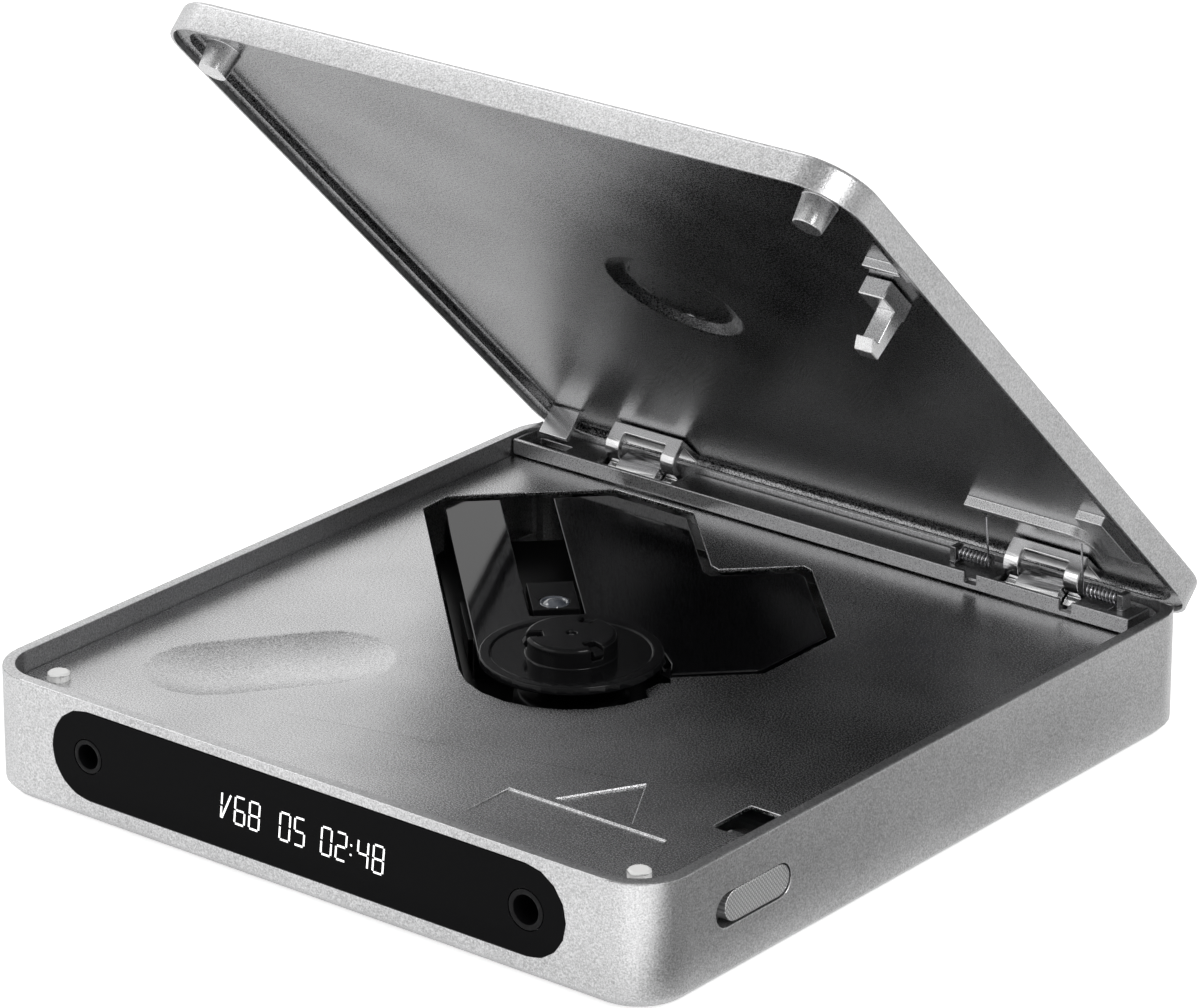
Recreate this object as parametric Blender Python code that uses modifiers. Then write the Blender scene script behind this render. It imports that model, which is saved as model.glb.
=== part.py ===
"""Portable CD player with a hinged lid, standing open at its stop.

The player is modelled in its base frame: X runs right along the front, Y runs back and
Z runs up from the underside of the housing.  Lid pieces are written where they lie when
the lid is shut, and the lid's hinge frame then swings them open.  Mechanism pieces are
written in the mechanism's own frame, whose X axis runs from the spindle out along the
pickup's track.  Every length is in metres.
"""
from math import asin, cos, degrees, pi, radians, sin, tan

import bmesh
import bpy
from mathutils import Matrix, Vector

# Housing
BASE_WIDTH = 0.137
BASE_DEPTH = 0.144
BASE_HEIGHT = 0.021
CORNER_RADIUS = 0.0094
RIM_WALL = 0.0021
SIDE_WALL = 0.0030
BOTTOM_CHAMFER = 0.0016
RIM_CHAMFER = 0.0002
COVER_SEAT_WALL = 0.0022
COVER_THICKNESS = 0.0012
BOSS_RADIUS = 0.0032
BOSS_INSET = 0.0082
SHELF_HEIGHT_SHARE = 0.5179
SHELF_THICKNESS = 0.0014
SHELF_REACH = 0.0115

# Fits
SEAT_GAP = 0.00025
SLIDE_GAP = 0.00015
RUN_GAP = 0.00008
CUT_OVERRUN = 0.004
WELD_DISTANCE = 0.000001
CURVE_STEPS = 8
FINE_STEPS = 24
SMALL_STEPS = 12
EDGE_STEPS = 3
ROUND_STEPS = 2
SWING_STEPS = 4

# Underside
FOOT_RADIUS = 0.005
FOOT_PROUD = 0.0005
FOOT_SUNK = 0.00035
FOOT_INSET_X = 0.0165
FOOT_INSET_Y = 0.016
SCREW_SHANK_RADIUS = 0.0008
SCREW_HEAD_RADIUS = 0.0019
SCREW_HEAD_HEIGHT = 0.0009
SCREW_LENGTH = 0.007
SCREW_SLOT = 0.0005

# Deck
DECK_DROP = 0.0036
DECK_THICKNESS = 0.001
BUMPER_RADIUS = 0.00162
BUMPER_PROUD = 0.0013
BUMPER_SUNK = 0.00035
BUMPER_LEFT_INSET = 0.0081
BUMPER_RIGHT_INSET = 0.01
BUMPER_FRONT_INSET = 0.0102
SCOOP_LEFT_INSET = 0.0301
SCOOP_FRONT_INSET = 0.0363
SCOOP_LENGTH = 0.042
SCOOP_WIDTH = 0.0224
SCOOP_DEPTH = 0.0013
SCOOP_EDGE_SHARE = 0.9
SCOOP_ANGLE = 53.0
SCOOP_FLOOR = 0.0008
PLAQUE_LEFT_INSET = 0.0458
PLAQUE_RIGHT_INSET = 0.0147
PLAQUE_FRONT_INSET = 0.0122
PLAQUE_WIDTH = 0.0106
PLAQUE_DEPTH = 0.0003
TRIANGLE_LEFT_INSET = 0.0377
TRIANGLE_RIGHT_INSET = 0.0226
TRIANGLE_FRONT_INSET = 0.0242
TRIANGLE_HEIGHT = 0.0131
LATCH_HOLE_INSET = 0.0028
LATCH_HOLE_LEAD = 0.0056
LATCH_HOLE_SIDE = 0.0098

# Hinge
HINGE_INSET = 0.00495
SWING_RADIUS = 0.00478
SWING_START_ANGLE = 12.0
LID_OPEN_ANGLE = 45.0
HINGE_END_INSET = 0.0262
PIN_RADIUS = 0.001
PIN_PROUD = 0.0004
BARREL_RADIUS = 0.0042
BARREL_WEB_DEPTH = 0.0045
BRACKET_WIDTH = 0.0151
BRACKET_LEAD = 0.006
BRACKET_FLANGE = 0.0065
LEG_WIDTH = 0.003
LEG_THICKNESS = 0.0012
LEG_BEND = 0.003
LEG_RISE = 0.00104
WINDOW_DROP = 0.002
BAR_REACH = 0.00745
BAR_RISE = 0.0031
BAR_FLOOR_RISE = 0.0016
BAR_LIP = 0.0007
BAR_END_INSET = 0.005
BAR_LIP_RETURN = 0.0064
NOTCH_WIDTH = 0.0024
NOTCH_DEPTH = 0.0005

# Lid springs
SPRING_RADIUS = 0.00105
SPRING_WIRE = 0.00017
SPRING_LENGTH = 0.0062
SPRING_CURLS = 8
SPRING_POINTS = 9
SPRING_LEFT_LEAD = 0.0104
SPRING_RIGHT_LEAD = 0.0087
SPRING_BACK = 0.00105
SPRING_UP = 0.0043
SPRING_LEG = 0.0088
SPRING_LEG_ANGLE = 96.0
SPRING_FOOT = 0.003
MANDREL_RADIUS = 0.0006
MANDREL_POST = 0.0012

# Lid
LID_GAP = 0.0003
LID_THICKNESS = 0.0052
LID_EDGE_RADIUS = 0.0008
SHELL_TOP_WALL = 0.001
SHELL_WALL = 0.0006
LINER_SETBACK = 0.0008
LINER_RIM = 0.0024
LINER_COVE = 0.0012
CEILING_DEPTH = 0.003
DIMPLE_RADIUS = 0.0124
DIMPLE_FLOOR_RADIUS = 0.0106
DIMPLE_DEPTH = 0.0012
POST_ROOT_RADIUS = 0.003
POST_TIP_RADIUS = 0.00245
HOOK_INSET = 0.0085
HOOK_BLOCK_WIDTH = 0.0048
HOOK_STEM_WIDTH = 0.0033
HOOK_BLOCK_LEAD = 0.0083
HOOK_BLOCK_LENGTH = 0.0077
HOOK_BLOCK_HEIGHT = 0.0034
HOOK_STEM_DEPTH = 0.0035
HOOK_LEAN = 0.0016
HOOK_NOSE_TOP = 0.0026
HOOK_NOSE_HEIGHT = 0.002
HOOK_NOSE_REACH = 0.0018
STOP_INSET = 0.0039
STOP_WIDTH = 0.0062
STOP_LEAD = 0.0048
STOP_THICKNESS = 0.001
STOP_CLEARANCE = 0.0003
RIB_START_LEAD = 0.0109
RIB_LEAD = 0.0185
RIB_HEIGHT = 0.0018
RIB_THICKNESS = 0.0012
RIB_LENGTH = 0.0207
RIB_BEND = 0.004
RIB_RETURN = 0.0045
GUIDE_INSET = 0.0059
GUIDE_WIDTH = 0.0053
GUIDE_LEAD = 0.02655
GUIDE_LENGTH = 0.0133
GUIDE_RAMP = 0.0046
GUIDE_HEIGHT = 0.0016
TAB_INSET = 0.0103
TAB_LEAD = 0.0017
TAB_THICKNESS = 0.0011
TAB_LENGTH = 0.0068
TAB_HEIGHT = 0.0015

# Front
PANEL_END_INSET = 0.01615
PANEL_FOOT_INSET = 0.004
PANEL_HEAD_INSET = 0.0019
PANEL_THICKNESS = 0.0012
DISPLAY_WIDTH = 0.0434
DISPLAY_MARGIN = 0.0074
DISPLAY_DEPTH = 0.003
JACK_HEADROOM = 0.00115
SMALL_JACK_RADIUS = 0.00285
SMALL_JACK_BORE = 0.0021
LARGE_JACK_RADIUS = 0.00335
LARGE_JACK_BORE = 0.00245
JACK_BODY_DEPTH = 0.0118
JACK_BODY_MARGIN = 0.0016
JACK_BORE_DEPTH = 0.0125

# Release latch
SLOT_LENGTH = 0.0187
SLOT_HEIGHT = 0.0058
SLOT_FRONT_INSET = 0.0255
SLOT_DROP = 0.00485
LATCH_TRAVEL = 0.0022
KNOB_RECESS = 0.0002
FLANGE_MARGIN = 0.0026
FLANGE_THICKNESS = 0.0012
BOLT_WALL = 0.0014
BOLT_TONGUE_REACH = 0.0066
BOLT_TIP_LEAD = 0.0121
BOLT_RAMP = 0.0035
BOLT_THICKNESS = 0.0014
BOLT_TIP_THICKNESS = 0.0004
BOLT_LENGTH = 0.0091
BOLT_WEB = 0.001
BOLT_WEB_DROP = 0.006
LATCH_SPRING_RADIUS = 0.0015
LATCH_SPRING_WIRE = 0.0002
LATCH_SPRING_LENGTH = 0.006
LATCH_SPRING_CURLS = 6
SPRING_POST_THICKNESS = 0.0013

# Left side buttons
BUTTON_NAMES = ("volume_down_button", "volume_up_button", "previous_button", "play_button", "next_button")
BUTTON_LENGTH = 0.007
BUTTON_HEIGHT = 0.0028
BUTTON_PITCH = 0.010
BUTTON_FRONT_INSET = 0.05
BUTTON_DROP = 0.00055
BUTTON_PROUD = 0.0005
BUTTON_TRAVEL = 0.0005
BUTTON_FLANGE = 0.0008
SWITCH_DEPTH = 0.0024
SWITCH_LENGTH = 0.0044
SWITCH_RISE = 0.0016

# Electronics
BOARD_DROP = 0.00515
BOARD_THICKNESS = 0.001
BOARD_SIDE_INSET = 0.013
BOARD_REAR_INSET = 0.042
BOARD_ARM_INSET = 0.014
BOARD_ARM_REACH = 0.045
BOARD_MARGIN = 0.0006
STANDOFF_RADIUS = 0.002
CHIP_HEIGHT = 0.0012
CHIP_SIZE = 0.010
CHIP_PLACE_SHARES = (-0.6, -0.1, 0.4)
CHIP_SETBACK_SHARE = 1.5
BATTERY_LENGTH = 0.07
BATTERY_THICKNESS = 0.0085
BATTERY_LEFT_X = 0.0295
BATTERY_RIGHT_INSET = 0.006
BATTERY_FRONT_Y = -0.022
BATTERY_EDGE = 0.001
USB_X = -0.020
USB_WIDTH = 0.009
USB_HEIGHT = 0.0032
USB_DEPTH = 0.0075
USB_DROP = 0.0032
USB_WALL = 0.0004
USB_BORE_DEPTH = 0.0062

# Mechanism
SPINDLE_Y = -0.0058
TRACK_ANGLE = 135.0
WELL_RADIUS = 0.0182
WELL_SIDE_MARGIN = 0.005355
WELL_REAR_MARGIN = 0.01366
WELL_END_HALF = 0.0140
WELL_NEAR_CHAMFER = 0.0054
WELL_ARC_END = 217.0
WELL_FAR_SIDE = 0.0276
WELL_FAR_CHAMFER = 0.0122
WELL_STEP = 0.0374
WELL_STEP_FILLET = 0.0010
WELL_WING = 0.0441
WELL_WING_CUT = 0.0021
WELL_WING_CHAMFER = 0.0137
WELL_FRONT = 0.0070
WELL_NECK = 0.0108
WELL_NOTCH = 0.0022
COVER_MARGIN = 0.0013
COVER_DROP = 0.0006
MECH_COVER_THICKNESS = 0.0008
TURNTABLE_HOLE_RADIUS = 0.0162
TRACK_WIDTH = 0.009
TRACK_START = 0.0222
CHASSIS_MARGIN = 0.002
CHASSIS_DROP = 0.0094
CHASSIS_THICKNESS = 0.0012
ROD_RADIUS = 0.001
ROD_SPREAD = 0.0125
ROD_RISE = 0.0031
ROD_START = 0.0142
ROD_END_INSET = 0.0045
HOLDER_LENGTH = 0.0024
HOLDER_HALF_WIDTH = 0.002
SLED_HALF_WIDTH = 0.015
SLED_INNER = 0.007
SLED_OUTER = 0.009
SLED_RISE = 0.001
SLED_HEIGHT = 0.0038
LENS_TRACK_RADIUS = 0.0268
LENS_RADIUS = 0.0025
LENS_THICKNESS = 0.0008
HOLDER_INNER = 0.0033
HOLDER_OUTER = 0.0085
LENS_HOLDER_HALF_WIDTH = 0.0039
LENS_HOLDER_HEIGHT = 0.0026
LENS_FLOAT = 0.0006
SCREW_DRIVE_Y = -0.018
SCREW_DRIVE_RADIUS = 0.0012
SCREW_END_INSET = 0.0093
SCREW_BEARING = 0.002
NUT_HALF_LENGTH = 0.002
SLED_MOTOR_RADIUS = 0.0028
SLED_MOTOR_START = 0.006
SLED_MOTOR_LENGTH = 0.0152
SLED_MOTOR_SOCKET = 0.0025
SPINDLE_MOTOR_RADIUS = 0.0095
SPINDLE_MOTOR_HEIGHT = 0.0043
SHAFT_RADIUS = 0.00075
SHAFT_BASE_RISE = 0.0003
SHAFT_TOP_DROP = 0.0004
DISC_HOLE_RADIUS = 0.0075
HUB_CLEARANCE = 0.00005
HUB_RISE = 0.0035
HUB_EDGE = 0.0004
PLATTER_RADIUS = 0.015
PLATTER_RISE = 0.0021
PLATTER_THICKNESS = 0.0012
PLATTER_RIM = 0.0018
PLATTER_RIM_RISE = 0.00025
TURNTABLE_BOSS_RADIUS = 0.006
TURNTABLE_BOSS_GAP = 0.0005
CLAW_COUNT = 3
CLAW_FIRST_ANGLE = 104.0
CLAW_WIDTH = 0.0018
CLAW_INNER = 0.0055
CLAW_PROUD = 0.00045
CLAW_HEIGHT = 0.0013
CLAW_RISE = 0.0015
CLAW_TRAVEL = 0.0006
DAMPER_END_INSET = 0.0073
DAMPER_WING_PLACE = (0.010, -0.038)
DAMPER_FRONT_PLACE = (0.006, 0.0145)
DAMPER_RADIUS = 0.003
DAMPER_HEIGHT = 0.0027
DAMPER_WAIST = 0.0007
COVER_POST_PLACES = ((0.0, -0.0265), (0.012, -0.038), (0.0315, -0.038))
COVER_POST_END_INSET = 0.0173
COVER_POST_SIDE = 0.0225
COVER_POST_RADIUS = 0.0016

# Levels and places that follow
HALF_WIDTH = BASE_WIDTH / 2
HALF_DEPTH = BASE_DEPTH / 2
BUMPER_LEFT_X = BUMPER_LEFT_INSET - HALF_WIDTH
BUMPER_RIGHT_X = HALF_WIDTH - BUMPER_RIGHT_INSET
BUMPER_Y = BUMPER_FRONT_INSET - HALF_DEPTH
SCOOP_CENTRE = (SCOOP_LEFT_INSET - HALF_WIDTH, SCOOP_FRONT_INSET - HALF_DEPTH)
PLAQUE_LOW = (HALF_WIDTH - PLAQUE_LEFT_INSET, PLAQUE_FRONT_INSET - HALF_DEPTH)
PLAQUE_HIGH = (HALF_WIDTH - PLAQUE_RIGHT_INSET, PLAQUE_LOW[1] + PLAQUE_WIDTH)
TRIANGLE_LEFT_X = HALF_WIDTH - TRIANGLE_LEFT_INSET
TRIANGLE_RIGHT_X = HALF_WIDTH - TRIANGLE_RIGHT_INSET
TRIANGLE_BASE_Y = TRIANGLE_FRONT_INSET - HALF_DEPTH
DECK_TOP = BASE_HEIGHT - DECK_DROP
DECK_BOTTOM = DECK_TOP - DECK_THICKNESS
HINGE_Y = HALF_DEPTH - HINGE_INSET
HINGE_Z = BASE_HEIGHT - SWING_RADIUS
LID_BOTTOM = BASE_HEIGHT + LID_GAP
LID_TOP = LID_BOTTOM + LID_THICKNESS
CEILING = LID_TOP - CEILING_DEPTH
PANEL_LENGTH = BASE_WIDTH - 2 * PANEL_END_INSET
PANEL_HEIGHT = BASE_HEIGHT - PANEL_FOOT_INSET - PANEL_HEAD_INSET
PANEL_Z = PANEL_FOOT_INSET + PANEL_HEIGHT / 2
DISPLAY_HEIGHT = PANEL_HEIGHT - DISPLAY_MARGIN
SLOT_CENTRE_Y = SLOT_FRONT_INSET - HALF_DEPTH
SLOT_Z = DECK_BOTTOM - SLOT_DROP
BUTTON_FIRST_Y = BUTTON_FRONT_INSET - HALF_DEPTH
BUTTON_Z = SLOT_Z - BUTTON_DROP
LATCH_HOLE_HIGH = (HALF_WIDTH - LATCH_HOLE_INSET, SLOT_CENTRE_Y + LATCH_HOLE_LEAD + LATCH_HOLE_SIDE)
LATCH_HOLE_LOW = (LATCH_HOLE_HIGH[0] - LATCH_HOLE_SIDE, SLOT_CENTRE_Y + LATCH_HOLE_LEAD)
BOLT_TIP_Y = SLOT_CENTRE_Y + BOLT_TIP_LEAD
HINGE_X = HALF_WIDTH - HINGE_END_INSET
SPRING_LEFT_X = HINGE_X - SPRING_LEFT_LEAD
SPRING_RIGHT_X = HINGE_X + SPRING_RIGHT_LEAD
HOOK_RIGHT_X = HALF_WIDTH - HOOK_INSET
HOOK_BLOCK_Y = (SLOT_CENTRE_Y + HOOK_BLOCK_LEAD, SLOT_CENTRE_Y + HOOK_BLOCK_LEAD + HOOK_BLOCK_LENGTH)
STOP_LEFT_X = STOP_INSET - HALF_WIDTH
STOP_RIGHT_X = STOP_LEFT_X + STOP_WIDTH
RIB_START_X = HINGE_X - RIB_START_LEAD
GUIDE_HIGH = (HALF_WIDTH - GUIDE_INSET, HINGE_Y - GUIDE_LEAD + GUIDE_LENGTH)
GUIDE_LOW = (GUIDE_HIGH[0] - GUIDE_WIDTH, HINGE_Y - GUIDE_LEAD)
TAB_LOW = (HALF_WIDTH - TAB_INSET, SLOT_CENTRE_Y + TAB_LEAD)
BOARD_Z = PANEL_Z - BOARD_DROP
BOARD_HALF_WIDTH = HALF_WIDTH - BOARD_SIDE_INSET
BOARD_REAR_Y = BOARD_REAR_INSET - HALF_DEPTH
BOARD_ARM_START_Y = BOARD_ARM_INSET - HALF_DEPTH
BOARD_ARM_END_Y = BUTTON_FIRST_Y + BOARD_ARM_REACH
SHELF_HEIGHT = HINGE_Z * SHELF_HEIGHT_SHARE
USB_Z = SHELF_HEIGHT - USB_DROP
WELL_SIDE_REACH = (HALF_WIDTH - WELL_SIDE_MARGIN) / sin(pi / 4) - WELL_END_HALF
WELL_REAR_REACH = (HALF_DEPTH - SPINDLE_Y - WELL_REAR_MARGIN) / sin(pi / 4) + WELL_FAR_CHAMFER - WELL_FAR_SIDE
WELL_END = min(WELL_SIDE_REACH, WELL_REAR_REACH)
ROD_END = WELL_END - ROD_END_INSET
SCREW_DRIVE_END = WELL_END - SCREW_END_INSET
DAMPER_PLACES = ((WELL_END - DAMPER_END_INSET, 0), DAMPER_WING_PLACE, DAMPER_FRONT_PLACE)
COVER_POSTS = (*COVER_POST_PLACES, (WELL_END - COVER_POST_END_INSET, -COVER_POST_SIDE))
BAR_FRONT = HINGE_Y - BAR_REACH
BAR_FLOOR = DECK_TOP + BAR_FLOOR_RISE
BAR_TOP = DECK_TOP + BAR_RISE
SPRING_Y = HINGE_Y - SPRING_BACK
SPRING_Z = HINGE_Z + SPRING_UP
EYE_RADIUS = LEG_RISE + LEG_THICKNESS
HINGE_CUT_HALF = BRACKET_WIDTH / 2 + PIN_PROUD + SEAT_GAP
PLATTER_TOP = DECK_TOP + PLATTER_RISE
HUB_TOP = PLATTER_TOP + HUB_RISE
MECH_COVER_TOP = DECK_TOP - COVER_DROP
MECH_COVER_BOTTOM = MECH_COVER_TOP - MECH_COVER_THICKNESS
CHASSIS_Z = DECK_TOP - CHASSIS_DROP
CHASSIS_TOP = CHASSIS_Z + CHASSIS_THICKNESS
ROD_Z = CHASSIS_TOP + ROD_RISE
SLED_Z = CHASSIS_TOP + SLED_RISE
SPINDLE_MOTOR_TOP = CHASSIS_TOP + SEAT_GAP + SPINDLE_MOTOR_HEIGHT
BOARD_TOP = BOARD_Z + BOARD_THICKNESS
BOLT_TOP = DECK_BOTTOM - SEAT_GAP
BOLT_BOTTOM = BOLT_TOP - BOLT_THICKNESS
KNOB_LENGTH = SLOT_LENGTH - LATCH_TRAVEL - 2 * SEAT_GAP
KNOB_REAR_Y = SLOT_CENTRE_Y + SLOT_LENGTH / 2 - SEAT_GAP
KNOB_CENTRE_Y = KNOB_REAR_Y - KNOB_LENGTH / 2
FLANGE_RIGHT_X = HALF_WIDTH - SIDE_WALL - SEAT_GAP
FLANGE_LEFT_X = FLANGE_RIGHT_X - FLANGE_THICKNESS
BOLT_RIGHT_X = FLANGE_LEFT_X - SEAT_GAP
JACK_X = PANEL_LENGTH / 2 - PANEL_HEIGHT / 2
REAR_REACH = (
    HINGE_Y
    + (HINGE_INSET - LID_EDGE_RADIUS) * cos(radians(LID_OPEN_ANGLE))
    + (LID_TOP - LID_EDGE_RADIUS - HINGE_Z) * sin(radians(LID_OPEN_ANGLE))
    + LID_EDGE_RADIUS
)
FRAME_SHIFT_X = BUTTON_PROUD / 2
FRAME_SHIFT_Y = (HALF_DEPTH - REAR_REACH) / 2

AXIS_TURNS = {
    "X": Matrix(((0, 0, 1), (1, 0, 0), (0, 1, 0))),
    "Y": Matrix(((1, 0, 0), (0, 0, -1), (0, 1, 0))),
    "Z": Matrix.Identity(3),
}
AXIS_VECTORS = {"X": Vector((1, 0, 0)), "Y": Vector((0, 1, 0)), "Z": Vector((0, 0, 1))}

FINISHES = {
    "satin_aluminium": ((0.62, 0.62, 0.63), 0.38, 1.0),
    "bright_steel": ((0.72, 0.72, 0.73), 0.22, 1.0),
    "spring_steel": ((0.55, 0.55, 0.56), 0.3, 1.0),
    "gloss_black": ((0.012, 0.012, 0.014), 0.08, 0.0),
    "matte_black": ((0.02, 0.02, 0.022), 0.5, 0.0),
    "white_rubber": ((0.85, 0.85, 0.84), 0.5, 0.0),
    "black_rubber": ((0.03, 0.03, 0.03), 0.8, 0.0),
    "display_glass": ((0.02, 0.02, 0.025), 0.15, 0.0),
    "board_green": ((0.03, 0.12, 0.06), 0.5, 0.0),
    "battery_foil": ((0.45, 0.46, 0.48), 0.4, 0.5),
    "lens_glass": ((0.5, 0.55, 0.65), 0.05, 0.0),
    "brass": ((0.7, 0.55, 0.3), 0.3, 1.0),
}


# Scene and collections

def clear_scene():
    """Remove every object that the start-up scene holds."""
    for item in list(bpy.data.objects):
        bpy.data.objects.remove(item, do_unlink=True)


def make_collection(name):
    """Return a new collection linked to the scene."""
    collection = bpy.data.collections.new(name)
    bpy.context.scene.collection.children.link(collection)
    return collection


# Outlines, each a list of points in its own plane

def arc(centre, radius, start, end, steps=CURVE_STEPS):
    """Return points along an arc, with its angles in degrees."""
    turns = [radians(start + (end - start) * step / steps) for step in range(steps + 1)]
    return [(centre[0] + radius * cos(turn), centre[1] + radius * sin(turn)) for turn in turns]


def circle(centre, radius, steps=FINE_STEPS):
    """Return the points of a full circle."""
    return arc(centre, radius, 0, 360, steps)[:-1]


def rectangle(low, high):
    """Return the corners of a rectangle."""
    return [(low[0], low[1]), (high[0], low[1]), (high[0], high[1]), (low[0], high[1])]


def rounded_rectangle(inset):
    """Return the housing's outline, drawn in by an inset all round."""
    radius = CORNER_RADIUS - inset
    side = HALF_WIDTH - inset - radius
    end = HALF_DEPTH - inset - radius
    corners = ((side, end, 0), (-side, end, 90), (-side, -end, 180), (side, -end, 270))
    return [point for x, y, turn in corners for point in arc((x, y), radius, turn, turn + 90)]


def stadium(centre, length, width, angle=0.0):
    """Return a bar with half-round ends, turned by an angle in degrees."""
    reach = (length - width) / 2
    points = arc((reach, 0), width / 2, -90, 90) + arc((-reach, 0), width / 2, 90, 270)
    turn = radians(angle)
    return [
        (centre[0] + x * cos(turn) - y * sin(turn), centre[1] + x * sin(turn) + y * cos(turn))
        for x, y in points
    ]


def well_outline(inset):
    """Return the opening over the mechanism, in the mechanism's frame."""
    slant = inset * tan(pi / 8)
    end = WELL_END - inset
    far = WELL_FAR_SIDE - inset
    wing = WELL_WING - inset
    step = WELL_STEP - inset
    front = WELL_FRONT - inset
    radius = WELL_RADIUS - inset
    neck = WELL_NECK - inset
    notch_top = neck + WELL_NOTCH
    points = arc((0, 0), radius, 90, WELL_ARC_END)
    points += [(-front - WELL_NOTCH * 2, -neck), (-front - WELL_NOTCH, -notch_top)]
    points += [(-front - WELL_NOTCH, -notch_top - WELL_NOTCH), (-front, -notch_top - WELL_NOTCH)]
    points += [(-front, -wing + WELL_WING_CHAMFER - slant), (-front + WELL_WING_CHAMFER - slant, -wing)]
    points += [(step - WELL_WING_CUT, -wing), (step, -wing + WELL_WING_CUT / 2)]
    points += [(step, -far - WELL_STEP_FILLET), (step + WELL_STEP_FILLET * 2, -far)]
    points += [(end - WELL_FAR_CHAMFER + slant, -far), (end, -far + WELL_FAR_CHAMFER - slant)]
    points += [(end, WELL_END_HALF - WELL_NOTCH / 3 - slant), (end - WELL_NEAR_CHAMFER + slant, radius)]
    return points


def mechanism_to_base(points):
    """Carry outline points from the mechanism's frame to the base frame."""
    turn = radians(TRACK_ANGLE)
    return [
        (x * cos(turn) - y * sin(turn), SPINDLE_Y + x * sin(turn) + y * cos(turn))
        for x, y in points
    ]


# Solids

def add_object(name, mesh):
    """Put a mesh in the scene as an object."""
    item = bpy.data.objects.new(name, mesh)
    bpy.context.scene.collection.objects.link(item)
    return item


def mesh_of(holder, turn=None, shift=None):
    """Turn a helper object into a welded mesh and remove the helper."""
    bpy.context.view_layer.update()
    evaluated = holder.evaluated_get(bpy.context.evaluated_depsgraph_get())
    mesh = bpy.data.meshes.new_from_object(evaluated)
    data = holder.data
    bpy.data.objects.remove(holder, do_unlink=True)
    if isinstance(data, bpy.types.Curve):
        bpy.data.curves.remove(data)
    else:
        bpy.data.meshes.remove(data)
    body = bmesh.new()
    body.from_mesh(mesh)
    bmesh.ops.remove_doubles(body, verts=body.verts, dist=WELD_DISTANCE)
    if turn is not None:
        bmesh.ops.transform(body, matrix=turn.to_4x4(), verts=body.verts)
    if shift is not None:
        bmesh.ops.translate(body, vec=shift, verts=body.verts)
    bmesh.ops.recalc_face_normals(body, faces=body.faces)
    body.to_mesh(mesh)
    body.free()
    return mesh


def prism(name, outlines, low, high, axis="Z"):
    """Return a flat outline, less its holes, carried from low to high along an axis."""
    curve = bpy.data.curves.new(name, "CURVE")
    curve.dimensions = "2D"
    curve.fill_mode = "BOTH"
    curve.extrude = (high - low) / 2
    for outline in outlines:
        spline = curve.splines.new("POLY")
        spline.points.add(len(outline) - 1)
        for point, place in zip(spline.points, outline):
            point.co = (place[0], place[1], 0, 1)
        spline.use_cyclic_u = True
    mesh = mesh_of(add_object(name, curve), AXIS_TURNS[axis], AXIS_VECTORS[axis] * ((low + high) / 2))
    mesh.name = name
    return add_object(name, mesh)


def stack(name, levels):
    """Return the housing's outline carried up through pairs of inset and height."""
    body = bmesh.new()
    rings = [
        [body.verts.new((x, y, height)) for x, y in rounded_rectangle(inset)]
        for inset, height in levels
    ]
    for lower, upper in zip(rings, rings[1:]):
        for index in range(len(lower)):
            body.faces.new((lower[index - 1], lower[index], upper[index], upper[index - 1]))
    body.faces.new(rings[0])
    body.faces.new(rings[-1])
    bmesh.ops.recalc_face_normals(body, faces=body.faces)
    mesh = bpy.data.meshes.new(name)
    body.to_mesh(mesh)
    body.free()
    return add_object(name, mesh)


def box(name, low, high):
    """Return a block between two corners."""
    body = bmesh.new()
    size = Vector(high) - Vector(low)
    middle = (Vector(high) + Vector(low)) / 2
    bmesh.ops.create_cube(body, size=1, matrix=Matrix.Translation(middle) @ Matrix.Diagonal((*size, 1)))
    mesh = bpy.data.meshes.new(name)
    body.to_mesh(mesh)
    body.free()
    return add_object(name, mesh)


def cylinder(name, radius, start, end, axis="Z", tip_radius=None, steps=FINE_STEPS):
    """Return a rod or a cone from start to end, which share the axis's line."""
    body = bmesh.new()
    middle = (Vector(start) + Vector(end)) / 2
    length = (Vector(end) - Vector(start)).length
    turn = AXIS_TURNS[axis].to_4x4()
    bmesh.ops.create_cone(
        body,
        cap_ends=True,
        segments=steps,
        radius1=radius,
        radius2=radius if tip_radius is None else tip_radius,
        depth=length,
        matrix=Matrix.Translation(middle) @ turn,
    )
    mesh = bpy.data.meshes.new(name)
    body.to_mesh(mesh)
    body.free()
    return add_object(name, mesh)


def turned(name, profile, steps=FINE_STEPS):
    """Return a ring turned about Z from a closed profile of radius and height."""
    body = bmesh.new()
    verts = [body.verts.new((radius, 0, height)) for radius, height in profile]
    for first, second in zip(verts, verts[1:] + verts[:1]):
        body.edges.new((first, second))
    mesh = bpy.data.meshes.new(name)
    body.to_mesh(mesh)
    body.free()
    item = add_object(name, mesh)
    screw = item.modifiers.new("turn", "SCREW")
    screw.axis = "Z"
    screw.steps = steps
    screw.render_steps = steps
    screw.use_merge_vertices = True
    screw.merge_threshold = WELD_DISTANCE
    solid = mesh_of(item)
    solid.name = name
    return add_object(name, solid)


def wire(name, points, radius):
    """Return a round wire along its points, capped at both ends."""
    curve = bpy.data.curves.new(name, "CURVE")
    curve.dimensions = "3D"
    curve.bevel_depth = radius
    curve.bevel_resolution = 1
    curve.use_fill_caps = True
    spline = curve.splines.new("POLY")
    spline.points.add(len(points) - 1)
    for point, place in zip(spline.points, points):
        point.co = (*place, 1)
    mesh = mesh_of(add_object(name, curve))
    mesh.name = name
    return add_object(name, mesh)


def combine(piece, tool, operation):
    """Join or cut a piece with a tool, which stays as a hidden guide."""
    change = piece.modifiers.new(tool.name, "BOOLEAN")
    change.operation = operation
    change.solver = "EXACT"
    change.object = tool
    tool.hide_render = True
    tool.display_type = "WIRE"
    return piece


def fuse(piece, *tools):
    """Join tools to a piece."""
    for tool in tools:
        combine(piece, tool, "UNION")
    return piece


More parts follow.
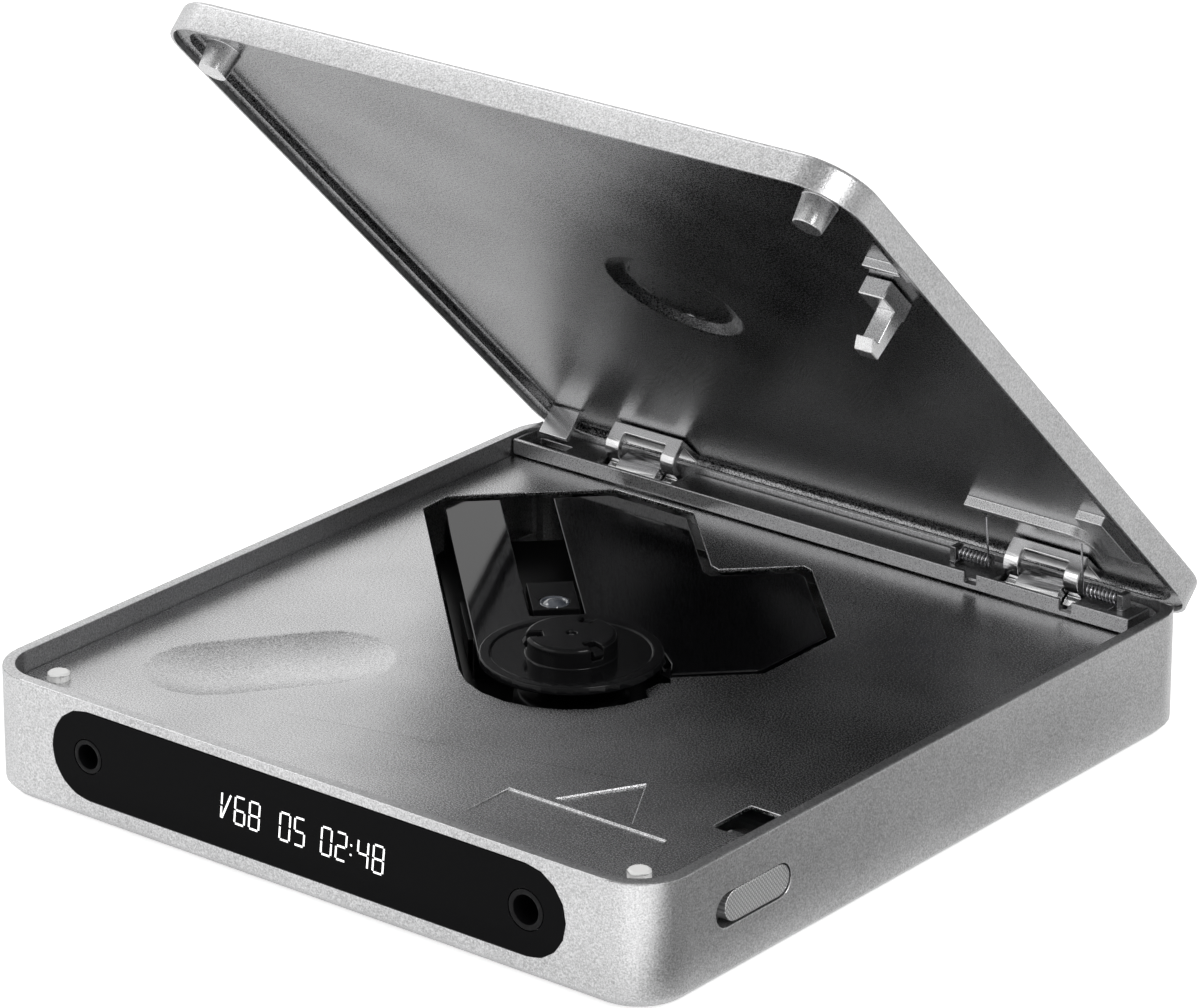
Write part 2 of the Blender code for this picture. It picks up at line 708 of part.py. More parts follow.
def cut(piece, *tools):
    """Cut tools out of a piece."""
    for tool in tools:
        combine(piece, tool, "DIFFERENCE")
    return piece


def soften(piece, width, segments=ROUND_STEPS, angle=40.0):
    """Round or chamfer a piece's sharp edges."""
    bevel = piece.modifiers.new("edge", "BEVEL")
    bevel.width = width
    bevel.segments = segments
    bevel.limit_method = "ANGLE"
    bevel.angle_limit = radians(angle)
    return piece


def least_gap(points, radius, skip):
    """Return the least gap between a wire's turns, measured on its points."""
    gaps = [
        (Vector(first) - Vector(second)).length
        for index, first in enumerate(points)
        for second in points[index + skip:]
    ]
    return min(gaps) - radius * 2


# Frames

class Frame:
    """A named empty, and the place of its origin in the coordinates of its pieces."""

    def __init__(self, name, parent, origin, turn=(0, 0, 0), own_axes=False):
        self.origin = Vector((0, 0, 0)) if own_axes else Vector(origin)
        self.empty = bpy.data.objects.new(name, None)
        bpy.context.scene.collection.objects.link(self.empty)
        if parent is not None:
            self.empty.parent = parent.empty
            self.empty.location = Vector(origin) - parent.origin
        else:
            self.empty.location = origin
        self.empty.rotation_euler = turn


class Player:
    """The collections, frames and materials that every piece goes into."""

    def __init__(self):
        self.parts = make_collection("portable_cd_player")
        self.cutters = make_collection("cutters")
        self.materials = {name: self.material(name, *values) for name, values in FINISHES.items()}
        self.base = Frame("player_frame", None, (FRAME_SHIFT_X, FRAME_SHIFT_Y, FOOT_PROUD), own_axes=True)
        self.lid = Frame("lid_hinge", self.base, (0, HINGE_Y, HINGE_Z), (-radians(LID_OPEN_ANGLE), 0, 0))
        self.mechanism = Frame(
            "mechanism_frame", self.base, (0, SPINDLE_Y, 0), (0, 0, radians(TRACK_ANGLE)), own_axes=True
        )
        self.sled = Frame("sled_frame", self.mechanism, (LENS_TRACK_RADIUS, 0, ROD_Z))
        self.drive = Frame("lead_screw_axis", self.mechanism, (SLED_MOTOR_START, SCREW_DRIVE_Y, ROD_Z))
        self.spindle = Frame(
            "spindle_axis", self.mechanism, (0, 0, PLATTER_TOP), (0, 0, -radians(TRACK_ANGLE))
        )
        self.latch = Frame("latch_frame", self.base, (FLANGE_LEFT_X, KNOB_CENTRE_Y, SLOT_Z))

    @staticmethod
    def material(name, colour, roughness, metallic):
        """Return a principled material."""
        made = bpy.data.materials.new(name)
        made.use_nodes = True
        shader = made.node_tree.nodes["Principled BSDF"]
        shader.inputs["Base Color"].default_value = (*colour, 1)
        shader.inputs["Roughness"].default_value = roughness
        shader.inputs["Metallic"].default_value = metallic
        return made

    def add(self, piece, finish, frame):
        """Seat a finished piece, with its guides, in its frame and collection."""
        piece.data.materials.clear()
        piece.data.materials.append(self.materials[finish])
        piece.data.shade_smooth()
        piece.data.set_sharp_from_angle(angle=radians(30))
        self.seat(piece, frame, self.parts)
        for change in piece.modifiers:
            if change.type == "BOOLEAN":
                self.seat(change.object, frame, self.cutters)

    def seat(self, item, frame, collection):
        """Move an item into a collection and hang it on a frame."""
        for owner in list(item.users_collection):
            owner.objects.unlink(item)
        collection.objects.link(item)
        item.parent = frame.empty
        item.location = -frame.origin


# Housing

def swing_cutter():
    """Return the space behind the hinge line that the lid's rear edge sweeps."""
    sweep = arc((HINGE_Y, HINGE_Z), SWING_RADIUS, 90 - SWING_START_ANGLE, 90 - LID_OPEN_ANGLE, SWING_STEPS)
    last_y, last_z = sweep[-1]
    back_y = HALF_DEPTH + CUT_OVERRUN
    back_z = last_z - (back_y - last_y) * tan(radians(LID_OPEN_ANGLE))
    top = BASE_HEIGHT + CUT_OVERRUN
    outline = sweep + [(back_y, back_z), (back_y, top), (sweep[0][0], top)]
    reach = HALF_WIDTH + CUT_OVERRUN
    return prism("swing_space", [outline], -reach, reach, "X")


def boss_places():
    """Return the four corners where the bottom screws go."""
    x = HALF_WIDTH - BOSS_INSET
    y = HALF_DEPTH - BOSS_INSET
    return [(x, y), (-x, y), (-x, -y), (x, -y)]


def housing_bosses(piece):
    """Join the corner bosses and the hinge shelf to the housing's walls."""
    low = COVER_THICKNESS + SEAT_GAP * 2
    for index, (x, y) in enumerate(boss_places()):
        outer_x = HALF_WIDTH - RIM_WALL if x > 0 else RIM_WALL - HALF_WIDTH
        outer_y = HALF_DEPTH - RIM_WALL if y > 0 else RIM_WALL - HALF_DEPTH
        corner_low = (min(x, outer_x), min(y, outer_y) + (BOSS_RADIUS if y < 0 else 0), low)
        top = DECK_BOTTOM - SEAT_GAP
        corner_high = (max(x, outer_x), max(y, outer_y) - (BOSS_RADIUS if y > 0 else 0), top)
        rod = cylinder(f"boss_{index}", BOSS_RADIUS, (x, y, low), (x, y, top), steps=SMALL_STEPS)
        fuse(piece, rod, box(f"boss_web_{index}", corner_low, corner_high))
    shelf_x = HALF_WIDTH - BOSS_INSET - BOSS_RADIUS - SEAT_GAP
    shelf_low = (-shelf_x, HALF_DEPTH - SHELF_REACH, SHELF_HEIGHT)
    shelf_high = (shelf_x, HALF_DEPTH - RIM_WALL, SHELF_HEIGHT + SHELF_THICKNESS)
    fuse(piece, box("hinge_shelf", shelf_low, shelf_high))
    for index, (x, y) in enumerate(boss_places()):
        end = (x, y, SCREW_LENGTH + COVER_THICKNESS)
        start = (x, y, -CUT_OVERRUN)
        bore = SCREW_SHANK_RADIUS + SLIDE_GAP
        cut(piece, cylinder(f"boss_bore_{index}", bore, start, end, steps=SMALL_STEPS))


def housing_openings(piece):
    """Cut the front panel's seat, the slots, the button holes and the sockets."""
    seat = stadium((0, PANEL_Z), PANEL_LENGTH + 2 * SLIDE_GAP, PANEL_HEIGHT + 2 * SLIDE_GAP)
    seat_back = PANEL_THICKNESS + SLIDE_GAP - HALF_DEPTH
    cut(piece, prism("panel_seat", [seat], -HALF_DEPTH - CUT_OVERRUN, seat_back, "Y"))
    half_width = DISPLAY_WIDTH / 2 + SEAT_GAP
    half_height = DISPLAY_HEIGHT / 2 + SEAT_GAP
    window_low = (-half_width, -HALF_DEPTH - CUT_OVERRUN, PANEL_Z - half_height)
    window_high = (half_width, SIDE_WALL + CUT_OVERRUN - HALF_DEPTH, PANEL_Z + half_height)
    cut(piece, box("display_window", window_low, window_high))
    for name, x, radius in jack_places():
        start = (x, -HALF_DEPTH - CUT_OVERRUN, PANEL_Z)
        end = (x, SIDE_WALL + CUT_OVERRUN - HALF_DEPTH, PANEL_Z)
        cut(piece, cylinder(f"{name}_hole", radius + SLIDE_GAP, start, end, "Y"))
    slot = stadium((SLOT_CENTRE_Y, SLOT_Z), SLOT_LENGTH, SLOT_HEIGHT)
    inner_x = HALF_WIDTH - SIDE_WALL - CUT_OVERRUN
    cut(piece, prism("slider_slot", [slot], inner_x, HALF_WIDTH + CUT_OVERRUN, "X"))
    for name, y in button_places():
        hole = stadium((y, BUTTON_Z), BUTTON_LENGTH + 2 * SLIDE_GAP, BUTTON_HEIGHT + 2 * SLIDE_GAP)
        hole_end = SIDE_WALL + SEAT_GAP - HALF_WIDTH
        cut(piece, prism(f"{name}_hole", [hole], -HALF_WIDTH - CUT_OVERRUN, hole_end, "X"))
    socket = stadium((USB_X, USB_Z), USB_WIDTH + 2 * SLIDE_GAP, USB_HEIGHT + 2 * SLIDE_GAP)
    inner_y = HALF_DEPTH - SIDE_WALL - CUT_OVERRUN
    cut(piece, prism("usb_hole", [socket], inner_y, HALF_DEPTH + CUT_OVERRUN, "Y"))
    for side in (-1, 1):
        low = (side * HINGE_X - HINGE_CUT_HALF, inner_y, SHELF_HEIGHT + SHELF_THICKNESS)
        high = (side * HINGE_X + HINGE_CUT_HALF, HALF_DEPTH - RIM_WALL, DECK_BOTTOM + CUT_OVERRUN)
        cut(piece, box(f"hinge_pocket_{side}", low, high))


def base_housing(player):
    """One-piece aluminium frame: four walls, corner bosses and the hinge shelf."""
    levels = (
        (BOTTOM_CHAMFER, 0), (0, BOTTOM_CHAMFER),
        (0, BASE_HEIGHT - RIM_CHAMFER), (RIM_CHAMFER, BASE_HEIGHT),
    )
    piece = stack("base_housing", levels)
    cut(piece, prism("well", [rounded_rectangle(RIM_WALL)], DECK_BOTTOM, BASE_HEIGHT + CUT_OVERRUN))
    cut(piece, prism("cavity", [rounded_rectangle(SIDE_WALL)], COVER_THICKNESS, DECK_TOP))
    cover_seat = rounded_rectangle(COVER_SEAT_WALL)
    cut(piece, prism("cover_seat", [cover_seat], -CUT_OVERRUN, COVER_THICKNESS + SEAT_GAP))
    housing_bosses(piece)
    housing_openings(piece)
    cut(piece, swing_cutter())
    player.add(piece, "satin_aluminium", player.base)


def foot_places():
    """Return the four places of the feet."""
    x = HALF_WIDTH - FOOT_INSET_X
    y = HALF_DEPTH - FOOT_INSET_Y
    return [(x, y), (-x, y), (-x, -y), (x, -y)]


def bottom_cover(player):
    """Aluminium plate with seats for feet and screws, and posts for what stands on it."""
    piece = prism("bottom_cover", [rounded_rectangle(COVER_SEAT_WALL + SLIDE_GAP)], 0, COVER_THICKNESS)
    posts = []
    root = COVER_THICKNESS / 2
    damper_top = CHASSIS_Z - SEAT_GAP * 2 - DAMPER_HEIGHT
    for index, (x, y) in enumerate(mechanism_to_base(DAMPER_PLACES)):
        post_top = (x, y, damper_top)
        name = f"damper_post_{index}"
        posts.append(cylinder(name, DAMPER_RADIUS, (x, y, root), post_top, steps=SMALL_STEPS))
    for index, (x, y) in enumerate(standoff_places()):
        top = (x, y, BOARD_Z - SEAT_GAP)
        posts.append(cylinder(f"standoff_{index}", STANDOFF_RADIUS, (x, y, root), top, steps=SMALL_STEPS))
    usb_half = USB_WIDTH / 2 - USB_HEIGHT / 2
    usb_low = (USB_X - usb_half, HALF_DEPTH - SIDE_WALL - USB_DEPTH / 2, root)
    usb_high = (USB_X + usb_half, HALF_DEPTH - SIDE_WALL - SEAT_GAP, USB_Z - USB_HEIGHT / 2 - SEAT_GAP)
    posts.append(box("usb_rest", usb_low, usb_high))
    posts.append(spring_post(root))
    fuse(piece, *posts)
    for index, (x, y) in enumerate(foot_places()):
        top = (x, y, FOOT_SUNK + SEAT_GAP)
        cut(piece, cylinder(f"foot_seat_{index}", FOOT_RADIUS + SLIDE_GAP, (x, y, -CUT_OVERRUN), top))
    for index, (x, y) in enumerate(boss_places()):
        end = (x, y, COVER_THICKNESS + CUT_OVERRUN)
        bore = SCREW_SHANK_RADIUS + SLIDE_GAP
        head = SCREW_HEAD_RADIUS + SLIDE_GAP
        head_end = (x, y, SCREW_HEAD_HEIGHT + SLIDE_GAP)
        start = (x, y, -CUT_OVERRUN)
        cut(piece, cylinder(f"screw_hole_{index}", bore, start, end, steps=SMALL_STEPS))
        cut(piece, cylinder(f"screw_seat_{index}", head, start, head_end, steps=SMALL_STEPS))
    player.add(piece, "satin_aluminium", player.base)


def cover_screws(player):
    """Four screws with flat heads that hold the bottom cover to the corner bosses."""
    for index, (x, y) in enumerate(boss_places(), 1):
        head_top = (x, y, SCREW_HEAD_HEIGHT)
        head = cylinder(f"cover_screw_{index}", SCREW_HEAD_RADIUS, (x, y, 0), head_top, steps=SMALL_STEPS)
        shank_start = (x, y, SCREW_HEAD_HEIGHT / 2)
        shank_end = (x, y, SCREW_LENGTH)
        fuse(head, cylinder(f"shank_{index}", SCREW_SHANK_RADIUS, shank_start, shank_end, steps=SMALL_STEPS))
        for turn, (reach_x, reach_y) in enumerate(((1, 0), (0, 1))):
            half_x = SCREW_SLOT / 2 + reach_x * SCREW_HEAD_RADIUS / 2
            half_y = SCREW_SLOT / 2 + reach_y * SCREW_HEAD_RADIUS / 2
            slot_low = (x - half_x, y - half_y, -CUT_OVERRUN)
            slot_high = (x + half_x, y + half_y, SCREW_SLOT)
            cut(head, box(f"drive_{index}_{turn}", slot_low, slot_high))
        player.add(head, "bright_steel", player.base)


def feet(player):
    """Four rubber feet, set into the bottom cover."""
    for index, (x, y) in enumerate(foot_places(), 1):
        piece = cylinder(f"foot_{index}", FOOT_RADIUS, (x, y, -FOOT_PROUD), (x, y, FOOT_SUNK))
        player.add(piece, "black_rubber", player.base)


# Deck

def scoop_tools():
    """Return the dish under the deck and the finger hollow cut into it."""
    dish_length = SCOOP_LENGTH + 2 * SCOOP_FLOOR
    dish_width = SCOOP_WIDTH + 2 * SCOOP_FLOOR
    dish = stadium(SCOOP_CENTRE, dish_length, dish_width, SCOOP_ANGLE)
    floor = DECK_TOP - SCOOP_DEPTH - SCOOP_FLOOR
    under = prism("scoop_dish", [dish], floor, DECK_BOTTOM + DECK_THICKNESS / 2)
    hollow = prism(
        "scoop_hollow",
        [stadium(SCOOP_CENTRE, SCOOP_LENGTH, SCOOP_WIDTH, SCOOP_ANGLE)],
        DECK_TOP - SCOOP_DEPTH,
        DECK_TOP + CUT_OVERRUN,
    )
    soften(hollow, SCOOP_DEPTH * SCOOP_EDGE_SHARE, EDGE_STEPS)
    return under, hollow


def deck_plate(player):
    """The plate that the disc lies over, with its openings and recesses."""
    outline = rounded_rectangle(RIM_WALL + SLIDE_GAP)
    opening = mechanism_to_base(well_outline(0))
    latch_hole = rectangle(LATCH_HOLE_LOW, LATCH_HOLE_HIGH)
    piece = prism("deck_plate", [outline, opening, latch_hole], DECK_BOTTOM + SEAT_GAP, DECK_TOP)
    under, hollow = scoop_tools()
    fuse(piece, under)
    cut(piece, hollow)
    recess_floor = DECK_TOP - PLAQUE_DEPTH
    above = DECK_TOP + CUT_OVERRUN
    cut(piece, box("plaque_recess", (*PLAQUE_LOW, recess_floor), (*PLAQUE_HIGH, above)))
    peak_x = (TRIANGLE_LEFT_X + TRIANGLE_RIGHT_X) / 2
    corners = [
        (TRIANGLE_LEFT_X, TRIANGLE_BASE_Y),
        (TRIANGLE_RIGHT_X, TRIANGLE_BASE_Y),
        (peak_x, TRIANGLE_BASE_Y + TRIANGLE_HEIGHT),
    ]
    cut(piece, prism("triangle_recess", [corners], recess_floor, above))
    for side in (-1, 1):
        low = (side * HINGE_X - HINGE_CUT_HALF, HINGE_Y - BRACKET_LEAD - SEAT_GAP, DECK_BOTTOM - CUT_OVERRUN)
        high = (side * HINGE_X + HINGE_CUT_HALF, HALF_DEPTH + CUT_OVERRUN, above)
        cut(piece, box(f"deck_hinge_cut_{side}", low, high))
    for name, x in bumper_places():
        start = (x, BUMPER_Y, DECK_TOP - BUMPER_SUNK - SEAT_GAP)
        end = (x, BUMPER_Y, above)
        cut(piece, cylinder(f"{name}_seat", BUMPER_RADIUS + SLIDE_GAP, start, end, steps=SMALL_STEPS))
    player.add(piece, "satin_aluminium", player.base)


def bumper_places():
    """Return the two front corners where the lid's posts land."""
    return [("bumper_left", BUMPER_LEFT_X), ("bumper_right", BUMPER_RIGHT_X)]


def bumpers(player):
    """Two white rubber stops on the deck."""
    for name, x in bumper_places():
        start = (x, BUMPER_Y, DECK_TOP - BUMPER_SUNK)
        end = (x, BUMPER_Y, DECK_TOP + BUMPER_PROUD)
        piece = soften(cylinder(name, BUMPER_RADIUS, start, end, steps=SMALL_STEPS), BUMPER_SUNK)
        player.add(piece, "white_rubber", player.base)


# Hinge

def spring_places():
    """Return each lid spring's name, inner end and the way that its coil runs."""
    return [("lid_spring_left", SPRING_LEFT_X, -1), ("lid_spring_right", SPRING_RIGHT_X, 1)]


def hinge_bar(player):
    """Channel along the back that covers the hinge and carries the springs."""
    back = HALF_DEPTH - RIM_WALL - SEAT_GAP
    bottom = DECK_TOP + SEAT_GAP
    lip = BAR_FRONT + BAR_LIP
    left = RIM_WALL + SEAT_GAP - HALF_WIDTH
    right = HALF_WIDTH - BAR_END_INSET
    profile = [
        (BAR_FRONT, bottom), (back, bottom), (back, BAR_FLOOR),
        (lip, BAR_FLOOR), (lip, BAR_TOP), (BAR_FRONT, BAR_TOP),
    ]
    piece = prism("hinge_bar", [profile], left, right, "X")
    low_z = (bottom + BAR_FLOOR) / 2
    for index, x in enumerate((left, right - BAR_LIP)):
        end_low = (x, BAR_FRONT, low_z)
        end_high = (x + BAR_LIP, BAR_FRONT + BAR_LIP_RETURN, BAR_TOP)
        fuse(piece, box(f"end_lip_{index}", end_low, end_high))
    for name, x, way in spring_places():
        outer = x + way * (SPRING_LENGTH + SEAT_GAP * 2)
        post_end = outer + way * MANDREL_POST
        post_low = (min(outer, post_end), SPRING_Y - MANDREL_RADIUS * 2, low_z)
        post_high = (max(outer, post_end), SPRING_Y + MANDREL_RADIUS * 2, SPRING_Z + MANDREL_RADIUS * 2)
        mandrel_end = (outer + way * MANDREL_POST / 2, SPRING_Y, SPRING_Z)
        mandrel_start = (x + way * SPRING_WIRE, SPRING_Y, SPRING_Z)
        fuse(
            piece,
            box(f"{name}_post", post_low, post_high),
            cylinder(f"{name}_mandrel", MANDREL_RADIUS, mandrel_start, mandrel_end, "X", steps=SMALL_STEPS),
        )
    for side in (-1, 1):
        low = (side * HINGE_X - HINGE_CUT_HALF, HINGE_Y - BRACKET_LEAD - SEAT_GAP, bottom - CUT_OVERRUN)
        high = (side * HINGE_X + HINGE_CUT_HALF, HALF_DEPTH, BAR_TOP + CUT_OVERRUN)
        cut(piece, box(f"bar_hinge_cut_{side}", low, high))
    for name, x, way in spring_places():
        groove_low = (x - NOTCH_WIDTH / 2, BAR_FRONT - CUT_OVERRUN, BAR_FLOOR - NOTCH_DEPTH)
        groove_high = (x + NOTCH_WIDTH / 2, lip + BAR_LIP, BAR_TOP + CUT_OVERRUN)
        cut(piece, box(f"{name}_notch", groove_low, groove_high))
    outside = rectangle((-BASE_WIDTH, -BASE_DEPTH), (BASE_WIDTH, BASE_DEPTH))
    inside = rounded_rectangle(RIM_WALL + SEAT_GAP)
    cut(piece, prism("bar_end_trim", [outside, inside], bottom - CUT_OVERRUN, BAR_TOP + CUT_OVERRUN))
    stop_low = (STOP_LEFT_X - SEAT_GAP * 2, HINGE_Y - STOP_LEAD - SEAT_GAP * 2, bottom - CUT_OVERRUN)
    stop_high = (STOP_RIGHT_X + SEAT_GAP * 2, HINGE_Y - STOP_THICKNESS, BAR_FLOOR + STOP_THICKNESS)
    cut(piece, box("stop_slot", stop_low, stop_high))
    player.add(piece, "satin_aluminium", player.base)


def hinge_barrels(player):
    """Two fixed knuckles that stand on the hinge shelf, and their steel pins."""
    half = BRACKET_WIDTH / 2 - LEG_WIDTH - SEAT_GAP
    for name, side in (("left", -1), ("right", 1)):
        x = side * HINGE_X
        start = (x - half, HINGE_Y, HINGE_Z)
        end = (x + half, HINGE_Y, HINGE_Z)
        barrel = cylinder(f"hinge_barrel_{name}", BARREL_RADIUS, start, end, "X")
        web_low = (x - half, HINGE_Y - BARREL_WEB_DEPTH / 2, SHELF_HEIGHT + SHELF_THICKNESS + SEAT_GAP)
        web_high = (x + half, HALF_DEPTH - RIM_WALL - SEAT_GAP * 2, HINGE_Z - PIN_RADIUS)
        fuse(barrel, box(f"barrel_web_{name}", web_low, web_high))
        behind_low = (start[0] - CUT_OVERRUN, web_high[1], HINGE_Z - BARREL_RADIUS - CUT_OVERRUN)
        behind_high = (end[0] + CUT_OVERRUN, HALF_DEPTH + CUT_OVERRUN, BASE_HEIGHT)
        cut(barrel, box(f"barrel_back_{name}", behind_low, behind_high))
        pin_half = BRACKET_WIDTH / 2 + PIN_PROUD
        bore_start = (x - pin_half, HINGE_Y, HINGE_Z)
        bore_end = (x + pin_half, HINGE_Y, HINGE_Z)
        cut(barrel, cylinder(f"barrel_bore_{name}", PIN_RADIUS + RUN_GAP, bore_start, bore_end, "X"))
        player.add(barrel, "bright_steel", player.base)
        pin = cylinder(f"hinge_pin_{name}", PIN_RADIUS, bore_start, bore_end, "X", steps=SMALL_STEPS)
        player.add(pin, "bright_steel", player.base)


def bracket_profile():
    """Return a bracket's side view: flange, gooseneck leg and the eye on the hinge pin."""
    face = HINGE_Y - BRACKET_LEAD
    bend_z = HINGE_Z + LEG_RISE + LEG_BEND
    bend_y = face + LEG_BEND
    top = CEILING - SEAT_GAP
    outer = arc((bend_y, bend_z), LEG_BEND, 180, 270)
    eye_start = 180 - degrees(asin(LEG_RISE / EYE_RADIUS))
    eye = arc((HINGE_Y, HINGE_Z), EYE_RADIUS, eye_start, 360 + 90, SMALL_STEPS)
    inner = arc((bend_y, bend_z), LEG_BEND - LEG_THICKNESS, 270, 180)
    under = top - LEG_THICKNESS
    flange = [(face + LEG_THICKNESS, under), (face + BRACKET_FLANGE, under), (face + BRACKET_FLANGE, top)]
    return [(face, top)] + outer + eye + inner + flange


def hinge_brackets(player):
    """Two brackets on the lid, each with two gooseneck legs round a window."""
    face = HINGE_Y - BRACKET_LEAD
    top = CEILING - SEAT_GAP
    for name, side in (("left", -1), ("right", 1)):
        x = side * HINGE_X
        left = x - BRACKET_WIDTH / 2
        right = x + BRACKET_WIDTH / 2
        plate = prism(f"hinge_bracket_{name}", [bracket_profile()], left, right, "X")
        window_low = (left + LEG_WIDTH, face - CUT_OVERRUN, HINGE_Z - EYE_RADIUS - CUT_OVERRUN)
        window_high = (right - LEG_WIDTH, HINGE_Y + EYE_RADIUS + CUT_OVERRUN, top - WINDOW_DROP + SEAT_GAP)
        cut(plate, box(f"bracket_window_{name}", window_low, window_high))
        bore_start = (left - CUT_OVERRUN, HINGE_Y, HINGE_Z)
        bore_end = (right + CUT_OVERRUN, HINGE_Y, HINGE_Z)
        cut(plate, cylinder(f"bracket_bore_{name}", PIN_RADIUS + RUN_GAP, bore_start, bore_end, "X"))
        player.add(plate, "bright_steel", player.lid)


def lid_spring_points(x, way):
    """Return a lid spring's wire, from its foot on the bar to its tip on the lid."""
    leg = radians(SPRING_LEG_ANGLE)
    last_turn = leg + pi / 2
    first_turn = -pi / 2
    sweep = first_turn - last_turn + 2 * pi * (SPRING_CURLS + 1)
    count = SPRING_CURLS * SPRING_POINTS
    outer = x + way * SPRING_LENGTH
    points = [(outer, SPRING_Y - SPRING_FOOT, SPRING_Z - SPRING_RADIUS)]
    for index in range(count + 1):
        share = index / count
        turn = first_turn - sweep * share
        place_x = outer - way * SPRING_LENGTH * share
        points.append((place_x, SPRING_Y + SPRING_RADIUS * cos(turn), SPRING_Z + SPRING_RADIUS * sin(turn)))
    last = points[-1]
    points.append((last[0], last[1] + SPRING_LEG * cos(leg), last[2] + SPRING_LEG * sin(leg)))
    return points


def lid_springs(player):
    """Two torsion springs that hold the lid open."""
    for name, x, way in spring_places():
        points = lid_spring_points(x, way)
        gap = least_gap(points[1:-1], SPRING_WIRE, SPRING_POINTS // 2 + 1)
        print(f"{name}: least gap between turns {gap:.5f} m")
        player.add(wire(name, points, SPRING_WIRE), "spring_steel", player.base)


# Lid

def lid_shell(player):
    """Outer skin of the lid, open below."""
    edge = arc((LID_EDGE_RADIUS, LID_TOP - LID_EDGE_RADIUS), LID_EDGE_RADIUS, 180, 90, EDGE_STEPS)
    piece = stack("lid_shell", [(0, LID_BOTTOM), *edge])
    inside = rounded_rectangle(SHELL_WALL)
    cut(piece, prism("shell_inside", [inside], LID_BOTTOM - CUT_OVERRUN, LID_TOP - SHELL_TOP_WALL))
    player.add(piece, "satin_aluminium", player.lid)


def liner_ribs():
    """Return the ribs that hang from the lid's ceiling by the right hinge."""
    root = CEILING + SEAT_GAP
    front = HINGE_Y - RIB_LEAD
    back = front + RIB_THICKNESS
    corner_x = RIB_START_X + RIB_LENGTH
    outer = arc((corner_x, front + RIB_BEND), RIB_BEND, 270, 360)
    inner = arc((corner_x, front + RIB_BEND), RIB_BEND - RIB_THICKNESS, 360, 270)
    end_y = front + RIB_BEND + RIB_RETURN
    outline = [(RIB_START_X, front)] + outer
    outline += [(outer[-1][0], end_y), (inner[0][0], end_y)] + inner + [(RIB_START_X, back)]
    rib = prism("hinge_rib", [outline], CEILING - RIB_HEIGHT, root)
    guide_profile = [
        (GUIDE_LOW[1], CEILING - GUIDE_HEIGHT), (GUIDE_HIGH[1], CEILING - GUIDE_HEIGHT),
        (GUIDE_HIGH[1] + GUIDE_RAMP, CEILING + SEAT_GAP / 2), (GUIDE_HIGH[1] + GUIDE_RAMP, root),
        (GUIDE_LOW[1], root),
    ]
    guide = prism("guide_rib", [guide_profile], GUIDE_LOW[0], GUIDE_HIGH[0], "X")
    tab_low = (*TAB_LOW, CEILING - TAB_HEIGHT)
    tab_high = (TAB_LOW[0] + TAB_LENGTH, TAB_LOW[1] + TAB_THICKNESS, root)
    return rib, guide, box("latch_tab", tab_low, tab_high)


def lid_liner(player):
    """Inner tray of the lid with its rim, ceiling, dimple, posts and ribs."""
    top = LID_TOP - SHELL_TOP_WALL - SEAT_GAP
    bottom = LID_BOTTOM + LINER_SETBACK
    piece = prism("lid_liner", [rounded_rectangle(SHELL_WALL + SLIDE_GAP)], bottom, top)
    inner = SHELL_WALL + SLIDE_GAP + LINER_RIM
    cove = arc((inner + LINER_COVE, CEILING - LINER_COVE), LINER_COVE, 180, 90, EDGE_STEPS)
    cut(piece, stack("liner_hollow", [(inner, LID_BOTTOM - CUT_OVERRUN), *cove]))
    dimple_start = (0, SPINDLE_Y, CEILING - CUT_OVERRUN)
    rate = (DIMPLE_RADIUS - DIMPLE_FLOOR_RADIUS) / DIMPLE_DEPTH
    wide = DIMPLE_RADIUS + rate * CUT_OVERRUN
    dimple_end = (0, SPINDLE_Y, CEILING + DIMPLE_DEPTH)
    cut(piece, cylinder("dimple", wide, dimple_start, dimple_end, "Z", DIMPLE_FLOOR_RADIUS))
    fuse(piece, *liner_ribs())
    tip = DECK_TOP + BUMPER_PROUD + SEAT_GAP
    for name, x in bumper_places():
        start = (x, BUMPER_Y, tip)
        end = (x, BUMPER_Y, CEILING + SEAT_GAP)
        fuse(piece, cylinder(f"{name}_post", POST_TIP_RADIUS, start, end, "Z", POST_ROOT_RADIUS))
    player.add(piece, "satin_aluminium", player.lid)


def latch_hook(player):
    """Hook under the lid's right edge that the latch bolt catches."""
    top = CEILING - SEAT_GAP
    front, back = HOOK_BLOCK_Y
    block_bottom = CEILING - HOOK_BLOCK_HEIGHT
    block_low = (HOOK_RIGHT_X - HOOK_BLOCK_WIDTH, front, block_bottom)
    piece = box("latch_hook", block_low, (HOOK_RIGHT_X, back, top))
    nose_top = BOLT_BOTTOM - SEAT_GAP
    tip = nose_top - HOOK_NOSE_HEIGHT
    stem_front = back - HOOK_STEM_DEPTH
    lean = HOOK_LEAN
    profile = [
        (back, top), (stem_front, top), (stem_front, nose_top),
        (stem_front - HOOK_NOSE_REACH, nose_top), (stem_front - HOOK_NOSE_REACH / 3, tip),
        (back - lean, tip),
    ]
    fuse(piece, prism("hook_stem", [profile], HOOK_RIGHT_X - HOOK_STEM_WIDTH, HOOK_RIGHT_X, "X"))
    player.add(piece, "satin_aluminium", player.lid)


def lid_stop(player):
    """Tab under the lid's rear left corner that meets the bar's slot."""
    face = HINGE_Y - STOP_LEAD
    low = (STOP_LEFT_X, face, DECK_TOP + STOP_CLEARANCE)
    piece = box("lid_stop", low, (STOP_RIGHT_X, face + STOP_THICKNESS, CEILING - SEAT_GAP))
    player.add(piece, "bright_steel", player.lid)


# Front panel and sockets

def jack_places():
    """Return each jack's name, place along the front and barrel radius."""
    return [
        ("headphone_jack_small", -JACK_X, SMALL_JACK_RADIUS),
        ("headphone_jack_large", JACK_X, LARGE_JACK_RADIUS),
    ]


